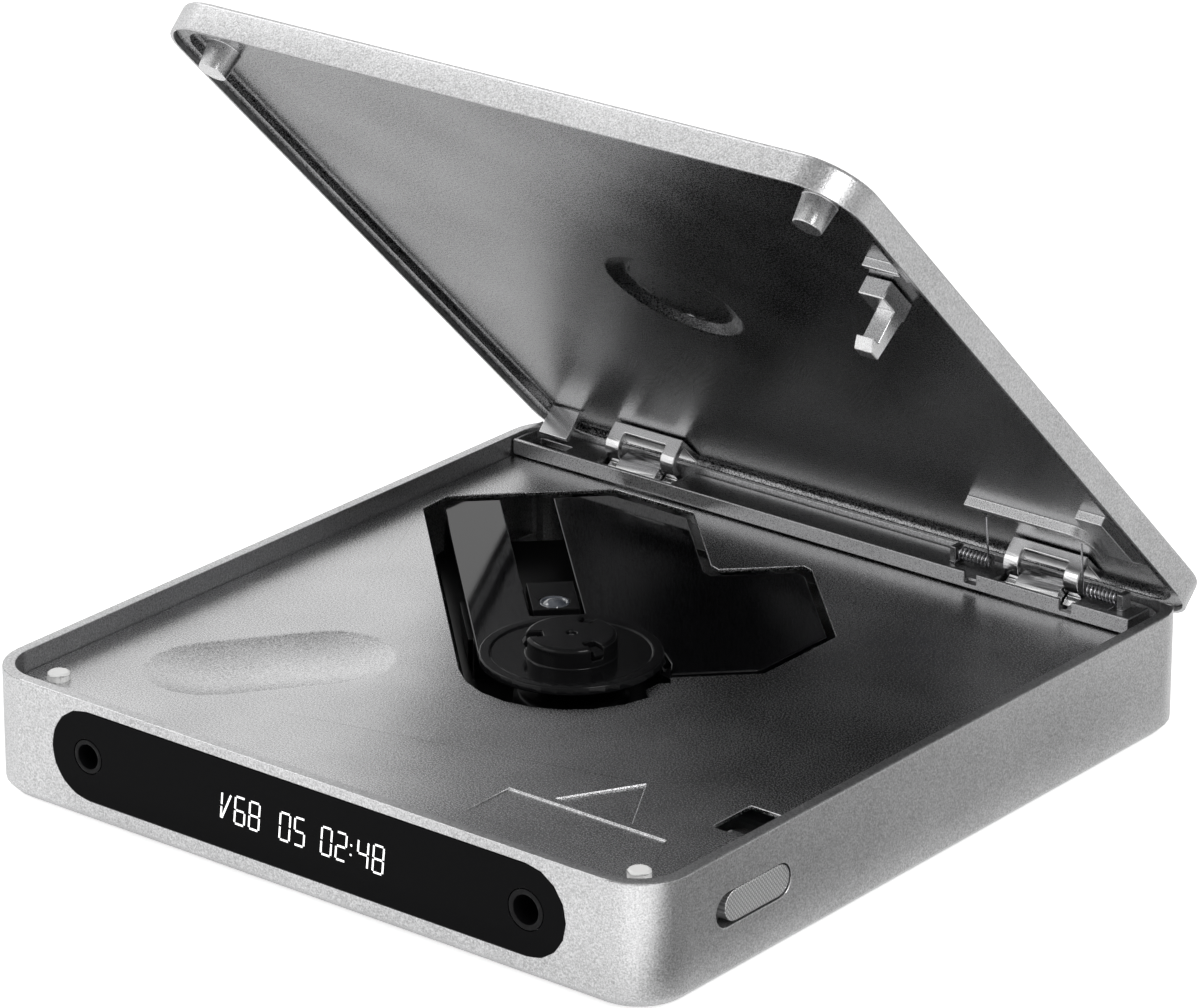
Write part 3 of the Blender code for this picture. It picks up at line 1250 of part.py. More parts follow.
def front_panel(player):
    """Gloss black window along the front, flush with the housing."""
    holes = [circle((x, PANEL_Z), radius + SLIDE_GAP) for name, x, radius in jack_places()]
    outline = stadium((0, PANEL_Z), PANEL_LENGTH, PANEL_HEIGHT)
    piece = prism("front_window", [outline, *holes], -HALF_DEPTH, PANEL_THICKNESS - HALF_DEPTH, "Y")
    player.add(piece, "gloss_black", player.base)


def display_module(player):
    """Display behind the window."""
    front = PANEL_THICKNESS + SEAT_GAP - HALF_DEPTH
    low = (-DISPLAY_WIDTH / 2, front, PANEL_Z - DISPLAY_HEIGHT / 2)
    high = (DISPLAY_WIDTH / 2, front + DISPLAY_DEPTH, PANEL_Z + DISPLAY_HEIGHT / 2)
    piece = box("display_module", low, high)
    player.add(piece, "display_glass", player.base)


def headphone_jacks(player):
    """Two headphone sockets that stand on the main board."""
    bores = (SMALL_JACK_BORE, LARGE_JACK_BORE)
    body_front = SIDE_WALL + SEAT_GAP - HALF_DEPTH
    low_z = BOARD_TOP + SEAT_GAP
    for (name, x, radius), bore in zip(jack_places(), bores):
        half = radius + JACK_BODY_MARGIN
        body_high = (x + half, body_front + JACK_BODY_DEPTH, DECK_BOTTOM - JACK_HEADROOM)
        piece = box(name, (x - half, body_front, low_z), body_high)
        barrel_end = (x, body_front + SEAT_GAP, PANEL_Z)
        fuse(piece, cylinder(f"{name}_barrel", radius, (x, -HALF_DEPTH, PANEL_Z), barrel_end, "Y"))
        bore_end = (x, JACK_BORE_DEPTH - HALF_DEPTH, PANEL_Z)
        bore_start = (x, -HALF_DEPTH - CUT_OVERRUN, PANEL_Z)
        cut(piece, cylinder(f"{name}_bore", bore, bore_start, bore_end, "Y"))
        player.add(piece, "matte_black", player.base)


def usb_socket(player):
    """Charging and data socket in the rear wall."""
    outline = stadium((USB_X, USB_Z), USB_WIDTH, USB_HEIGHT)
    piece = prism("usb_socket", [outline], HALF_DEPTH - USB_DEPTH, HALF_DEPTH - SLIDE_GAP, "Y")
    inside = stadium((USB_X, USB_Z), USB_WIDTH - 2 * USB_WALL, USB_HEIGHT - 2 * USB_WALL)
    cut(piece, prism("usb_bore", [inside], HALF_DEPTH - USB_BORE_DEPTH, HALF_DEPTH + CUT_OVERRUN, "Y"))
    tongue_half = USB_WIDTH / 2 - USB_HEIGHT / 2
    tongue_low = (USB_X - tongue_half, HALF_DEPTH - USB_BORE_DEPTH - USB_WALL, USB_Z - USB_WALL)
    tongue_high = (USB_X + tongue_half, HALF_DEPTH - USB_WALL * 2, USB_Z + USB_WALL)
    fuse(piece, box("usb_tongue", tongue_low, tongue_high))
    player.add(piece, "bright_steel", player.base)


# Controls

def button_places():
    """Return each button's name and place along the left side."""
    return [(name, BUTTON_FIRST_Y + BUTTON_PITCH * index) for index, name in enumerate(BUTTON_NAMES)]


def side_buttons(player):
    """Five push buttons along the left side."""
    inner = SIDE_WALL + SEAT_GAP - HALF_WIDTH
    for name, y in button_places():
        cap = stadium((y, BUTTON_Z), BUTTON_LENGTH, BUTTON_HEIGHT)
        piece = prism(name, [cap], -HALF_WIDTH - BUTTON_PROUD, inner + BUTTON_FLANGE / 2, "X")
        rim = stadium((y, BUTTON_Z), BUTTON_LENGTH + BUTTON_FLANGE * 2, BUTTON_HEIGHT + BUTTON_FLANGE * 2)
        fuse(piece, prism(f"{name}_flange", [rim], inner, inner + BUTTON_FLANGE, "X"))
        frame = Frame(f"{name}_frame", player.base, (-HALF_WIDTH, y, BUTTON_Z))
        player.add(piece, "satin_aluminium", frame)


def latch_slider(player):
    """Ribbed slider in the right side with a flange behind the wall."""
    knob_height = SLOT_HEIGHT - 2 * SEAT_GAP
    knob = stadium((KNOB_CENTRE_Y, SLOT_Z), KNOB_LENGTH, knob_height)
    piece = prism("latch_slider", [knob], FLANGE_LEFT_X + FLANGE_THICKNESS / 2, HALF_WIDTH - KNOB_RECESS, "X")
    flange = stadium((KNOB_CENTRE_Y, SLOT_Z), KNOB_LENGTH + 2 * FLANGE_MARGIN, knob_height + FLANGE_MARGIN)
    fuse(piece, prism("slider_flange", [flange], FLANGE_LEFT_X, FLANGE_RIGHT_X, "X"))
    player.add(piece, "satin_aluminium", player.latch)


def bolt_web_y():
    """Return the front face of the bolt's web, which the return spring pushes."""
    return BOLT_TIP_Y - BOLT_LENGTH - BOLT_WEB


def latch_bolt(player):
    """Bolt on the slider's flange whose tongue catches the hook."""
    left = BOLT_RIGHT_X - BOLT_TONGUE_REACH
    rear = BOLT_TIP_Y - BOLT_LENGTH
    tongue = [
        (rear - BOLT_WEB, BOLT_BOTTOM), (BOLT_TIP_Y, BOLT_BOTTOM),
        (BOLT_TIP_Y, BOLT_BOTTOM + BOLT_TIP_THICKNESS), (BOLT_TIP_Y - BOLT_RAMP, BOLT_TOP),
        (rear - BOLT_WEB, BOLT_TOP),
    ]
    piece = prism("latch_bolt", [tongue], left, BOLT_RIGHT_X, "X")
    web_low = (left, rear - BOLT_WEB, BOLT_BOTTOM - BOLT_WEB_DROP)
    fuse(piece, box("bolt_web", web_low, (BOLT_RIGHT_X, rear, BOLT_BOTTOM + BOLT_TIP_THICKNESS)))
    wall_low = (BOLT_RIGHT_X - BOLT_WALL, rear - BOLT_WEB, BOLT_BOTTOM - BOLT_WEB_DROP)
    wall_high = (BOLT_RIGHT_X, BOLT_TIP_Y - BOLT_RAMP, BOLT_BOTTOM + BOLT_TIP_THICKNESS)
    fuse(piece, box("bolt_wall", wall_low, wall_high))
    player.add(piece, "bright_steel", player.latch)


def latch_spring_centre():
    """Return the return spring's axis, as a place across and a height."""
    x = BOLT_RIGHT_X - BOLT_WALL - BOLT_TONGUE_REACH / 3
    return x, BOLT_BOTTOM - BOLT_WEB_DROP / 2


def spring_post(root):
    """Return the post of the bottom cover that the return spring pushes off."""
    x, z = latch_spring_centre()
    half = LATCH_SPRING_RADIUS + LATCH_SPRING_WIRE
    back = bolt_web_y() - SEAT_GAP * 2 - LATCH_SPRING_LENGTH - LATCH_SPRING_WIRE * 2
    low = (x - half, back - SPRING_POST_THICKNESS, root)
    return box("spring_post", low, (x + half, back, z + half))


def latch_spring(player):
    """Coil spring that returns the slider."""
    x, z = latch_spring_centre()
    end = bolt_web_y() - SEAT_GAP - LATCH_SPRING_WIRE
    start = end - LATCH_SPRING_LENGTH
    count = LATCH_SPRING_CURLS * SPRING_POINTS
    points = []
    for index in range(count + 1):
        turn = 2 * pi * index / SPRING_POINTS
        place_y = start + (end - start) * index / count
        points.append((x + LATCH_SPRING_RADIUS * cos(turn), place_y, z + LATCH_SPRING_RADIUS * sin(turn)))
    gap = least_gap(points, LATCH_SPRING_WIRE, SPRING_POINTS // 2 + 1)
    print(f"latch_spring: least gap between turns {gap:.5f} m")
    player.add(wire("latch_spring", points, LATCH_SPRING_WIRE), "spring_steel", player.base)


# Electronics

def standoff_places():
    """Return the places under the main board where it rests."""
    x = BOARD_HALF_WIDTH - STANDOFF_RADIUS * 2
    front = SIDE_WALL + BOARD_MARGIN - HALF_DEPTH + STANDOFF_RADIUS * 3
    rear = BOARD_REAR_Y - STANDOFF_RADIUS * 2
    return [(x, front), (-x, front), (-x, rear), (x - CHIP_SIZE, rear)]


def main_board(player):
    """Circuit board with its chips and the side switches."""
    front = SIDE_WALL + BOARD_MARGIN - HALF_DEPTH
    arm_left = SIDE_WALL + BOARD_MARGIN - HALF_WIDTH
    arm_right = arm_left + CHIP_SIZE
    outline = [
        (-BOARD_HALF_WIDTH, front), (BOARD_HALF_WIDTH, front), (BOARD_HALF_WIDTH, BOARD_REAR_Y),
        (arm_right, BOARD_REAR_Y), (arm_right, BOARD_ARM_END_Y), (arm_left, BOARD_ARM_END_Y),
        (arm_left, BOARD_ARM_START_Y), (-BOARD_HALF_WIDTH, BOARD_ARM_START_Y),
    ]
    piece = prism("main_board", [outline], BOARD_Z, BOARD_TOP)
    chip_bottom = BOARD_TOP - BOARD_THICKNESS / 2
    chip_y = BOARD_REAR_Y - CHIP_SIZE * CHIP_SETBACK_SHARE
    for index, share in enumerate(CHIP_PLACE_SHARES):
        x = BOARD_HALF_WIDTH * share
        chip_high = (x + CHIP_SIZE, chip_y + CHIP_SIZE, BOARD_TOP + CHIP_HEIGHT)
        fuse(piece, box(f"chip_{index}", (x, chip_y, chip_bottom), chip_high))
    face = SIDE_WALL + SEAT_GAP + BUTTON_FLANGE + BUTTON_TRAVEL + SLIDE_GAP - HALF_WIDTH
    for name, y in button_places():
        low = (face, y - SWITCH_LENGTH / 2, chip_bottom)
        high = (face + SWITCH_DEPTH, y + SWITCH_LENGTH / 2, BUTTON_Z + SWITCH_RISE)
        fuse(piece, box(f"{name}_switch", low, high))
    player.add(piece, "board_green", player.base)


def battery_pack(player):
    """Flat battery on the bottom cover, beside the mechanism."""
    low = (BATTERY_LEFT_X, BATTERY_FRONT_Y, COVER_THICKNESS + SEAT_GAP)
    high = (HALF_WIDTH - BATTERY_RIGHT_INSET, BATTERY_FRONT_Y + BATTERY_LENGTH, low[2] + BATTERY_THICKNESS)
    piece = soften(box("battery_pack", low, high), BATTERY_EDGE)
    player.add(piece, "battery_foil", player.base)


# Mechanism, in its own frame

def mech_chassis(player):
    """Frame that carries the motors and rods and hangs on rubber dampers."""
    piece = prism("mech_chassis", [well_outline(CHASSIS_MARGIN)], CHASSIS_Z, CHASSIS_TOP)
    root = CHASSIS_Z + CHASSIS_THICKNESS / 2
    top = MECH_COVER_BOTTOM - SEAT_GAP
    for index, x in enumerate((ROD_START, ROD_END - HOLDER_LENGTH)):
        for side in (-1, 1):
            y = side * ROD_SPREAD
            low = (x, y - HOLDER_HALF_WIDTH, root)
            fuse(piece, box(f"rod_holder_{index}_{side}", low, (x + HOLDER_LENGTH, y + HOLDER_HALF_WIDTH, top)))
    bearing_low = (SCREW_DRIVE_END - SCREW_BEARING, SCREW_DRIVE_Y - HOLDER_HALF_WIDTH, root)
    bearing_high = (SCREW_DRIVE_END, SCREW_DRIVE_Y + HOLDER_HALF_WIDTH, ROD_Z + HOLDER_HALF_WIDTH)
    fuse(piece, box("screw_bearing", bearing_low, bearing_high))
    for index, (x, y) in enumerate(COVER_POSTS):
        post = cylinder(f"cover_post_{index}", COVER_POST_RADIUS, (x, y, root), (x, y, top), steps=SMALL_STEPS)
        fuse(piece, post)
    for side in (-1, 1):
        start = (ROD_START - CUT_OVERRUN, side * ROD_SPREAD, ROD_Z)
        end = (ROD_END + CUT_OVERRUN, side * ROD_SPREAD, ROD_Z)
        cut(piece, cylinder(f"rod_seat_{side}", ROD_RADIUS + RUN_GAP, start, end, "X"))
    screw_start = (SCREW_DRIVE_END - SCREW_BEARING * 2, SCREW_DRIVE_Y, ROD_Z)
    screw_end = (SCREW_DRIVE_END + CUT_OVERRUN, SCREW_DRIVE_Y, ROD_Z)
    cut(piece, cylinder("bearing_bore", SCREW_DRIVE_RADIUS + RUN_GAP, screw_start, screw_end, "X"))
    player.add(piece, "matte_black", player.mechanism)


def mech_cover(player):
    """Gloss black cover with the pickup's track and the turntable's opening."""
    piece = prism("mech_cover", [well_outline(COVER_MARGIN)], MECH_COVER_BOTTOM, MECH_COVER_TOP)
    low = MECH_COVER_BOTTOM - CUT_OVERRUN
    high = MECH_COVER_TOP + CUT_OVERRUN
    cut(piece, cylinder("turntable_hole", TURNTABLE_HOLE_RADIUS, (0, 0, low), (0, 0, high)))
    front_low = (-WELL_RADIUS - CUT_OVERRUN, -WELL_NECK - COVER_MARGIN, low)
    cut(piece, box("front_clearance", front_low, (0, WELL_RADIUS + CUT_OVERRUN, high)))
    track_low = (TRACK_START, -TRACK_WIDTH / 2, low)
    cut(piece, box("pickup_track", track_low, (WELL_END + CUT_OVERRUN, TRACK_WIDTH / 2, high)))
    player.add(piece, "gloss_black", player.mechanism)


def chassis_dampers(player):
    """Three rubber dampers with waists, between the bottom cover and the chassis."""
    top = CHASSIS_Z - SEAT_GAP
    bottom = top - DAMPER_HEIGHT
    waist = DAMPER_RADIUS - DAMPER_WAIST
    for index, (x, y) in enumerate(DAMPER_PLACES, 1):
        bore = DAMPER_WAIST
        profile = [
            (bore, top), (DAMPER_RADIUS, top), (DAMPER_RADIUS, top - DAMPER_WAIST),
            (waist, (top + bottom) / 2), (DAMPER_RADIUS, bottom + DAMPER_WAIST),
            (DAMPER_RADIUS, bottom), (bore, bottom),
        ]
        piece = turned(f"chassis_damper_{index}", profile, SMALL_STEPS)
        frame = Frame(f"damper_place_{index}", player.mechanism, (x, y, 0), own_axes=True)
        player.add(piece, "black_rubber", frame)


def spindle_motor(player):
    """Flat motor under the turntable."""
    bore = SHAFT_RADIUS + RUN_GAP
    bottom = CHASSIS_TOP + SEAT_GAP
    step = SPINDLE_MOTOR_HEIGHT / 3
    profile = [
        (bore, SPINDLE_MOTOR_TOP), (SPINDLE_MOTOR_RADIUS - step / 2, SPINDLE_MOTOR_TOP),
        (SPINDLE_MOTOR_RADIUS - step / 2, SPINDLE_MOTOR_TOP - step),
        (SPINDLE_MOTOR_RADIUS, SPINDLE_MOTOR_TOP - step), (SPINDLE_MOTOR_RADIUS, bottom), (bore, bottom),
    ]
    player.add(turned("spindle_motor", profile), "bright_steel", player.mechanism)


def spindle_shaft(player):
    """Steel shaft from the motor up through the hub."""
    start = (0, 0, CHASSIS_TOP + SEAT_GAP + SHAFT_BASE_RISE)
    piece = cylinder("spindle_shaft", SHAFT_RADIUS, start, (0, 0, HUB_TOP - SHAFT_TOP_DROP), steps=SMALL_STEPS)
    player.add(piece, "bright_steel", player.spindle)


def turntable(player):
    """Turntable: platter, raised hub and boss, with notches for the claws."""
    bore = SHAFT_RADIUS + RUN_GAP
    hub = DISC_HOLE_RADIUS - HUB_CLEARANCE
    rim = PLATTER_RADIUS - PLATTER_RIM
    under = PLATTER_TOP - PLATTER_THICKNESS
    boss_bottom = SPINDLE_MOTOR_TOP + TURNTABLE_BOSS_GAP
    profile = [
        (bore, HUB_TOP), (hub - HUB_EDGE, HUB_TOP), (hub, HUB_TOP - HUB_EDGE), (hub, PLATTER_TOP),
        (rim, PLATTER_TOP), (rim, PLATTER_TOP + PLATTER_RIM_RISE),
        (PLATTER_RADIUS, PLATTER_TOP + PLATTER_RIM_RISE), (PLATTER_RADIUS, under),
        (TURNTABLE_BOSS_RADIUS, under), (TURNTABLE_BOSS_RADIUS, boss_bottom), (bore, boss_bottom),
    ]
    piece = turned("turntable", profile, FINE_STEPS + SMALL_STEPS)
    notch_inner = CLAW_INNER - CLAW_TRAVEL - SEAT_GAP
    floor = PLATTER_TOP + CLAW_RISE - SEAT_GAP
    for index in range(CLAW_COUNT):
        notch = box(
            f"claw_notch_{index}",
            (notch_inner, -CLAW_WIDTH / 2 - SLIDE_GAP, floor),
            (hub + CUT_OVERRUN, CLAW_WIDTH / 2 + SLIDE_GAP, HUB_TOP + CUT_OVERRUN),
        )
        notch.data.transform(Matrix.Rotation(claw_turn(index), 4, "Z"))
        cut(piece, notch)
    player.add(piece, "matte_black", player.spindle)


def claw_turn(index):
    """Return the angle of a claw about the spindle."""
    return radians(CLAW_FIRST_ANGLE + 360 / CLAW_COUNT * index)


def disc_claws(player):
    """Three small claws in the hub that hold the disc."""
    hub = DISC_HOLE_RADIUS - HUB_CLEARANCE
    bottom = PLATTER_TOP + CLAW_RISE
    middle = bottom + CLAW_HEIGHT / 2
    top = bottom + CLAW_HEIGHT
    for index in range(CLAW_COUNT):
        profile = [
            (CLAW_INNER, bottom), (hub, bottom), (hub + CLAW_PROUD, middle), (hub, top), (CLAW_INNER, top),
        ]
        frame = Frame(
            f"claw_frame_{index + 1}", player.spindle, (0, 0, PLATTER_TOP), (0, 0, claw_turn(index))
        )
        piece = prism(f"disc_claw_{index + 1}", [profile], -CLAW_WIDTH / 2, CLAW_WIDTH / 2, "Y")
        player.add(piece, "matte_black", frame)


def guide_rods(player):
    """Two steel rods that the sled rides on."""
    for name, side in (("guide_rod_near", 1), ("guide_rod_far", -1)):
        start = (ROD_START, side * ROD_SPREAD, ROD_Z)
        piece = cylinder(name, ROD_RADIUS, start, (ROD_END, side * ROD_SPREAD, ROD_Z), "X", steps=SMALL_STEPS)
        player.add(piece, "bright_steel", player.mechanism)


def pickup_sled(player):
    """Sled with its bores for the rods and its nut on the lead screw."""
    inner = LENS_TRACK_RADIUS - SLED_INNER
    outer = LENS_TRACK_RADIUS + SLED_OUTER
    piece = box(
        "pickup_sled",
        (inner, -SLED_HALF_WIDTH, SLED_Z),
        (outer, SLED_HALF_WIDTH, SLED_Z + SLED_HEIGHT),
    )
    nut_low = (LENS_TRACK_RADIUS - NUT_HALF_LENGTH, SCREW_DRIVE_Y - HOLDER_HALF_WIDTH, SLED_Z)
    nut_high = (LENS_TRACK_RADIUS + NUT_HALF_LENGTH, -SLED_HALF_WIDTH + SEAT_GAP, SLED_Z + SLED_HEIGHT)
    fuse(piece, box("sled_nut", nut_low, nut_high))
    far_inner = inner - CUT_OVERRUN
    far_outer = outer + CUT_OVERRUN
    bores = (
        ("near_bore", ROD_SPREAD, ROD_RADIUS),
        ("far_bore", -ROD_SPREAD, ROD_RADIUS),
        ("nut_bore", SCREW_DRIVE_Y, SCREW_DRIVE_RADIUS),
    )
    for name, y, radius in bores:
        cut(piece, cylinder(name, radius + RUN_GAP, (far_inner, y, ROD_Z), (far_outer, y, ROD_Z), "X"))
    player.add(piece, "matte_black", player.sled)


def lens_parts(player):
    """Floating lens holder on the sled, and the lens in it."""
    bottom = SLED_Z + SLED_HEIGHT + LENS_FLOAT
    top = bottom + LENS_HOLDER_HEIGHT
    holder = box(
        "lens_holder",
        (LENS_TRACK_RADIUS - HOLDER_INNER, -LENS_HOLDER_HALF_WIDTH, bottom),
        (LENS_TRACK_RADIUS + HOLDER_OUTER, LENS_HOLDER_HALF_WIDTH, top),
    )
    seat = top - LENS_THICKNESS / 2
    rest = (LENS_TRACK_RADIUS, 0, seat - SEAT_GAP)
    above = (LENS_TRACK_RADIUS, 0, top + CUT_OVERRUN)
    cut(holder, cylinder("lens_seat", LENS_RADIUS + SLIDE_GAP, rest, above))
    frame = Frame("lens_frame", player.sled, (LENS_TRACK_RADIUS, 0, bottom))
    player.add(holder, "matte_black", frame)
    start = (LENS_TRACK_RADIUS, 0, seat)
    end = (LENS_TRACK_RADIUS, 0, seat + LENS_THICKNESS)
    lens = soften(cylinder("pickup_lens", LENS_RADIUS, start, end, steps=SMALL_STEPS), LENS_THICKNESS / 3)
    player.add(lens, "lens_glass", frame)


def sled_drive(player):
    """Small motor and the lead screw that moves the sled."""
    motor_end = SLED_MOTOR_START + SLED_MOTOR_LENGTH
    start = (SLED_MOTOR_START, SCREW_DRIVE_Y, ROD_Z)
    motor = cylinder("sled_motor", SLED_MOTOR_RADIUS, start, (motor_end, SCREW_DRIVE_Y, ROD_Z), "X")
    socket_start = (motor_end - SLED_MOTOR_SOCKET, SCREW_DRIVE_Y, ROD_Z)
    socket_end = (motor_end + CUT_OVERRUN, SCREW_DRIVE_Y, ROD_Z)
    cut(motor, cylinder("motor_socket", SCREW_DRIVE_RADIUS + RUN_GAP, socket_start, socket_end, "X"))
    player.add(motor, "bright_steel", player.mechanism)
    screw_start = (motor_end - SLED_MOTOR_SOCKET + SEAT_GAP, SCREW_DRIVE_Y, ROD_Z)
    screw_end = (SCREW_DRIVE_END, SCREW_DRIVE_Y, ROD_Z)
    screw = cylinder("lead_screw", SCREW_DRIVE_RADIUS, screw_start, screw_end, "X", steps=SMALL_STEPS)
    player.add(screw, "brass", player.drive)


BUILDERS = (
    base_housing, bottom_cover, cover_screws, feet, deck_plate, bumpers, hinge_bar, hinge_barrels,
    hinge_brackets, lid_springs, lid_shell, lid_liner, latch_hook, lid_stop, front_panel, display_module,
    headphone_jacks, usb_socket, side_buttons, latch_slider, latch_bolt, latch_spring, main_board,
    battery_pack, mech_chassis, mech_cover, chassis_dampers, spindle_motor, spindle_shaft, turntable,
    disc_claws, guide_rods, pickup_sled, lens_parts, sled_drive,
)


def main():
    """Build the whole player."""
    clear_scene()
    player = Player()
    for build in BUILDERS:
        build(player)
    bpy.context.view_layer.update()


main()
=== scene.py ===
"""Visual model of a slim portable disc player with its lid open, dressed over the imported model."""

import logging
from dataclasses import dataclass, field
from enum import Enum
from math import cos, pi, radians, sin
from typing import ClassVar

import bmesh
import bpy
from mathutils import Matrix, Vector


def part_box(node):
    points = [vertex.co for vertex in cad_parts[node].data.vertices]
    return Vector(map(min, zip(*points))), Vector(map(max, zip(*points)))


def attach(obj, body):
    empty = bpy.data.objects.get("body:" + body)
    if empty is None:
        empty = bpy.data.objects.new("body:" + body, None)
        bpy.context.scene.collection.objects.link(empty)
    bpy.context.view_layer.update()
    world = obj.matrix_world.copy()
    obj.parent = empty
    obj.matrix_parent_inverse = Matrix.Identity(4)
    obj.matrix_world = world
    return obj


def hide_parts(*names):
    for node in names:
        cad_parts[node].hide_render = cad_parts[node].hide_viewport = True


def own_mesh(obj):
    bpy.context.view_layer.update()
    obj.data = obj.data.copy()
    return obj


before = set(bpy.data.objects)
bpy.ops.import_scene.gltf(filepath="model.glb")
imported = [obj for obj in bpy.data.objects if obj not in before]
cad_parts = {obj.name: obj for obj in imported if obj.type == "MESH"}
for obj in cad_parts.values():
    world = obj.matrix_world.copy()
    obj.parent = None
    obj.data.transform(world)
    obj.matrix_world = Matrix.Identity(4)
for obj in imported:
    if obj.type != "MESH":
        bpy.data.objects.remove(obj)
LOG = logging.getLogger("disc_player")
MM = 0.001
SHARP_ANGLE = 30.0
# Distances in metres within which points count as one.
WELD = 0.000004
WIRE_WELD = 0.000002
HAIR = 0.00001
TOUCH = 0.0000001
# A wave texture repeats once in this length at scale 1.
WAVE_TURN = 0.31
COARSE_SCALE = 0.012
COARSE_SHARE = 0.25
COAT_ROUGHNESS = 0.04
FLAT_WEIGHT = 50
WIRE_STEPS = 3
LID_OPENING = 45.0
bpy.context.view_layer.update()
HOUSING_LOW, HOUSING_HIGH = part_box("base_housing")
SHIFT = Vector((
    (HOUSING_LOW[0] + HOUSING_HIGH[0]) / 2,
    (HOUSING_LOW[1] + HOUSING_HIGH[1]) / 2,
    HOUSING_LOW[2],
))


def place(x: float, y: float, z: float) -> Vector:
    """Return a point given in millimetres from the underside's centre, in the shared frame."""
    return Vector((x, y, z)) * MM + SHIFT


HINGE = place(0, 67.05, 16.22)
LID_TURN = Matrix.Rotation(radians(-LID_OPENING), 3, "X")
Socket = bpy.types.NodeSocket
Value = float | Socket
Range = tuple[tuple[float, float], tuple[float, float]]


def lid_closed(spot: Vector) -> Vector:
    """Return where a point of the open lid lies when the lid is shut, in millimetres from the underside."""
    return (LID_TURN.transposed() @ (spot - HINGE) + HINGE - SHIFT) / MM


def lid_opened(spot: Vector) -> Vector:
    """Return where a point of the shut lid, in millimetres from the underside, lies once it is open."""
    return LID_TURN @ (spot * MM + SHIFT - HINGE) + HINGE


class Body(Enum):
    """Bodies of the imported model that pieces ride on."""

    BASE = "base"
    LID = "lid"
    LATCH = "latch"
    SPINDLE = "spindle"
    SLED = "sled"
    LENS = "lens"
    LEAD_SCREW = "lead_screw"


class Slot(Enum):
    """Material slots of the record."""

    ALUMINIUM = "satin_aluminium"
    STEEL = "bright_steel"
    SPRING = "spring_steel"
    GLOSS = "gloss_black"
    MATTE = "matte_black"
    WHITE_RUBBER = "white_rubber"
    BLACK_RUBBER = "black_rubber"
    DISPLAY = "display_glass"
    LENS = "lens_glass"
    BRASS = "brass"


class Graph:
    """A small helper that adds and links nodes in one node tree."""

    def __init__(self, tree: bpy.types.NodeTree) -> None:
        """Keep the tree.

        Args:
            tree: Node tree that the nodes go into.
        """
        self.tree = tree

    def add(self, kind: str, settings: dict | None = None, inputs: dict | None = None) -> bpy.types.Node:
        """Add a node, set its properties and fill or link its inputs.

        Args:
            kind: Blender's name of the node type.
            settings: Properties by name.
            inputs: Values or output sockets by the input's name or number.

        Returns:
            The new node.
        """
        node = self.tree.nodes.new(kind)
        for name, value in (settings or {}).items():
            setattr(node, name, value)
        self.fill(node, inputs or {})
        return node

    def fill(self, node: bpy.types.Node, inputs: dict) -> None:
        """Fill or link a node's inputs.

        Args:
            node: The node.
            inputs: Values or output sockets by the input's name or number.
        """
        for name, value in inputs.items():
            if isinstance(value, Socket):
                self.tree.links.new(value, node.inputs[name])
            else:
                node.inputs[name].default_value = value

    def math(self, operation: str, first: Value, second: Value) -> Socket:
        """Add a sum, product or the like.

        Args:
            operation: Blender's name of the operation.
            first: First value.
            second: Second value.

        Returns:
            The result.
        """
        return self.add("ShaderNodeMath", {"operation": operation}, {0: first, 1: second}).outputs[0]

    def ramp(
        self, value: Value, source: tuple[float, float], result: tuple[float, float], smooth: bool = False,
    ) -> Socket:
        """Add a map from one range of values to another.

        Args:
            value: Value that is mapped.
            source: Range that it comes from.
            result: Range that it goes to.
            smooth: Whether the ends of the map are eased.

        Returns:
            The mapped value.
        """
        kind = "SMOOTHSTEP" if smooth else "LINEAR"
        return self.add("ShaderNodeMapRange", {"interpolation_type": kind}, {
            "Value": value, "From Min": source[0], "From Max": source[1],
            "To Min": result[0], "To Max": result[1],
        }).outputs[0]

    def mix(self, share: Value, first: Value, second: Value) -> Socket:
        """Add a mix of two values.

        Args:
            share: Share of the second value.
            first: Value at share zero.
            second: Value at share one.

        Returns:
            The mixed value.
        """
        return self.add("ShaderNodeMix", None, {0: share, 2: first, 3: second}).outputs[0]


def new_group(
    name: str, inputs: dict[str, str], outputs: dict[str, str],
) -> tuple[bpy.types.NodeTree, Graph]:
    """Start a shader node group with named sockets.

    Args:
        name: Name of the group.
        inputs: Socket types by input name.
        outputs: Socket types by output name.

    Returns:
        The group and a helper on it.
    """
    group = bpy.data.node_groups.new(name, "ShaderNodeTree")
    for label, kind in inputs.items():
        group.interface.new_socket(name=label, in_out="INPUT", socket_type=kind)
    for label, kind in outputs.items():
        group.interface.new_socket(name=label, in_out="OUTPUT", socket_type=kind)
    return group, Graph(group)


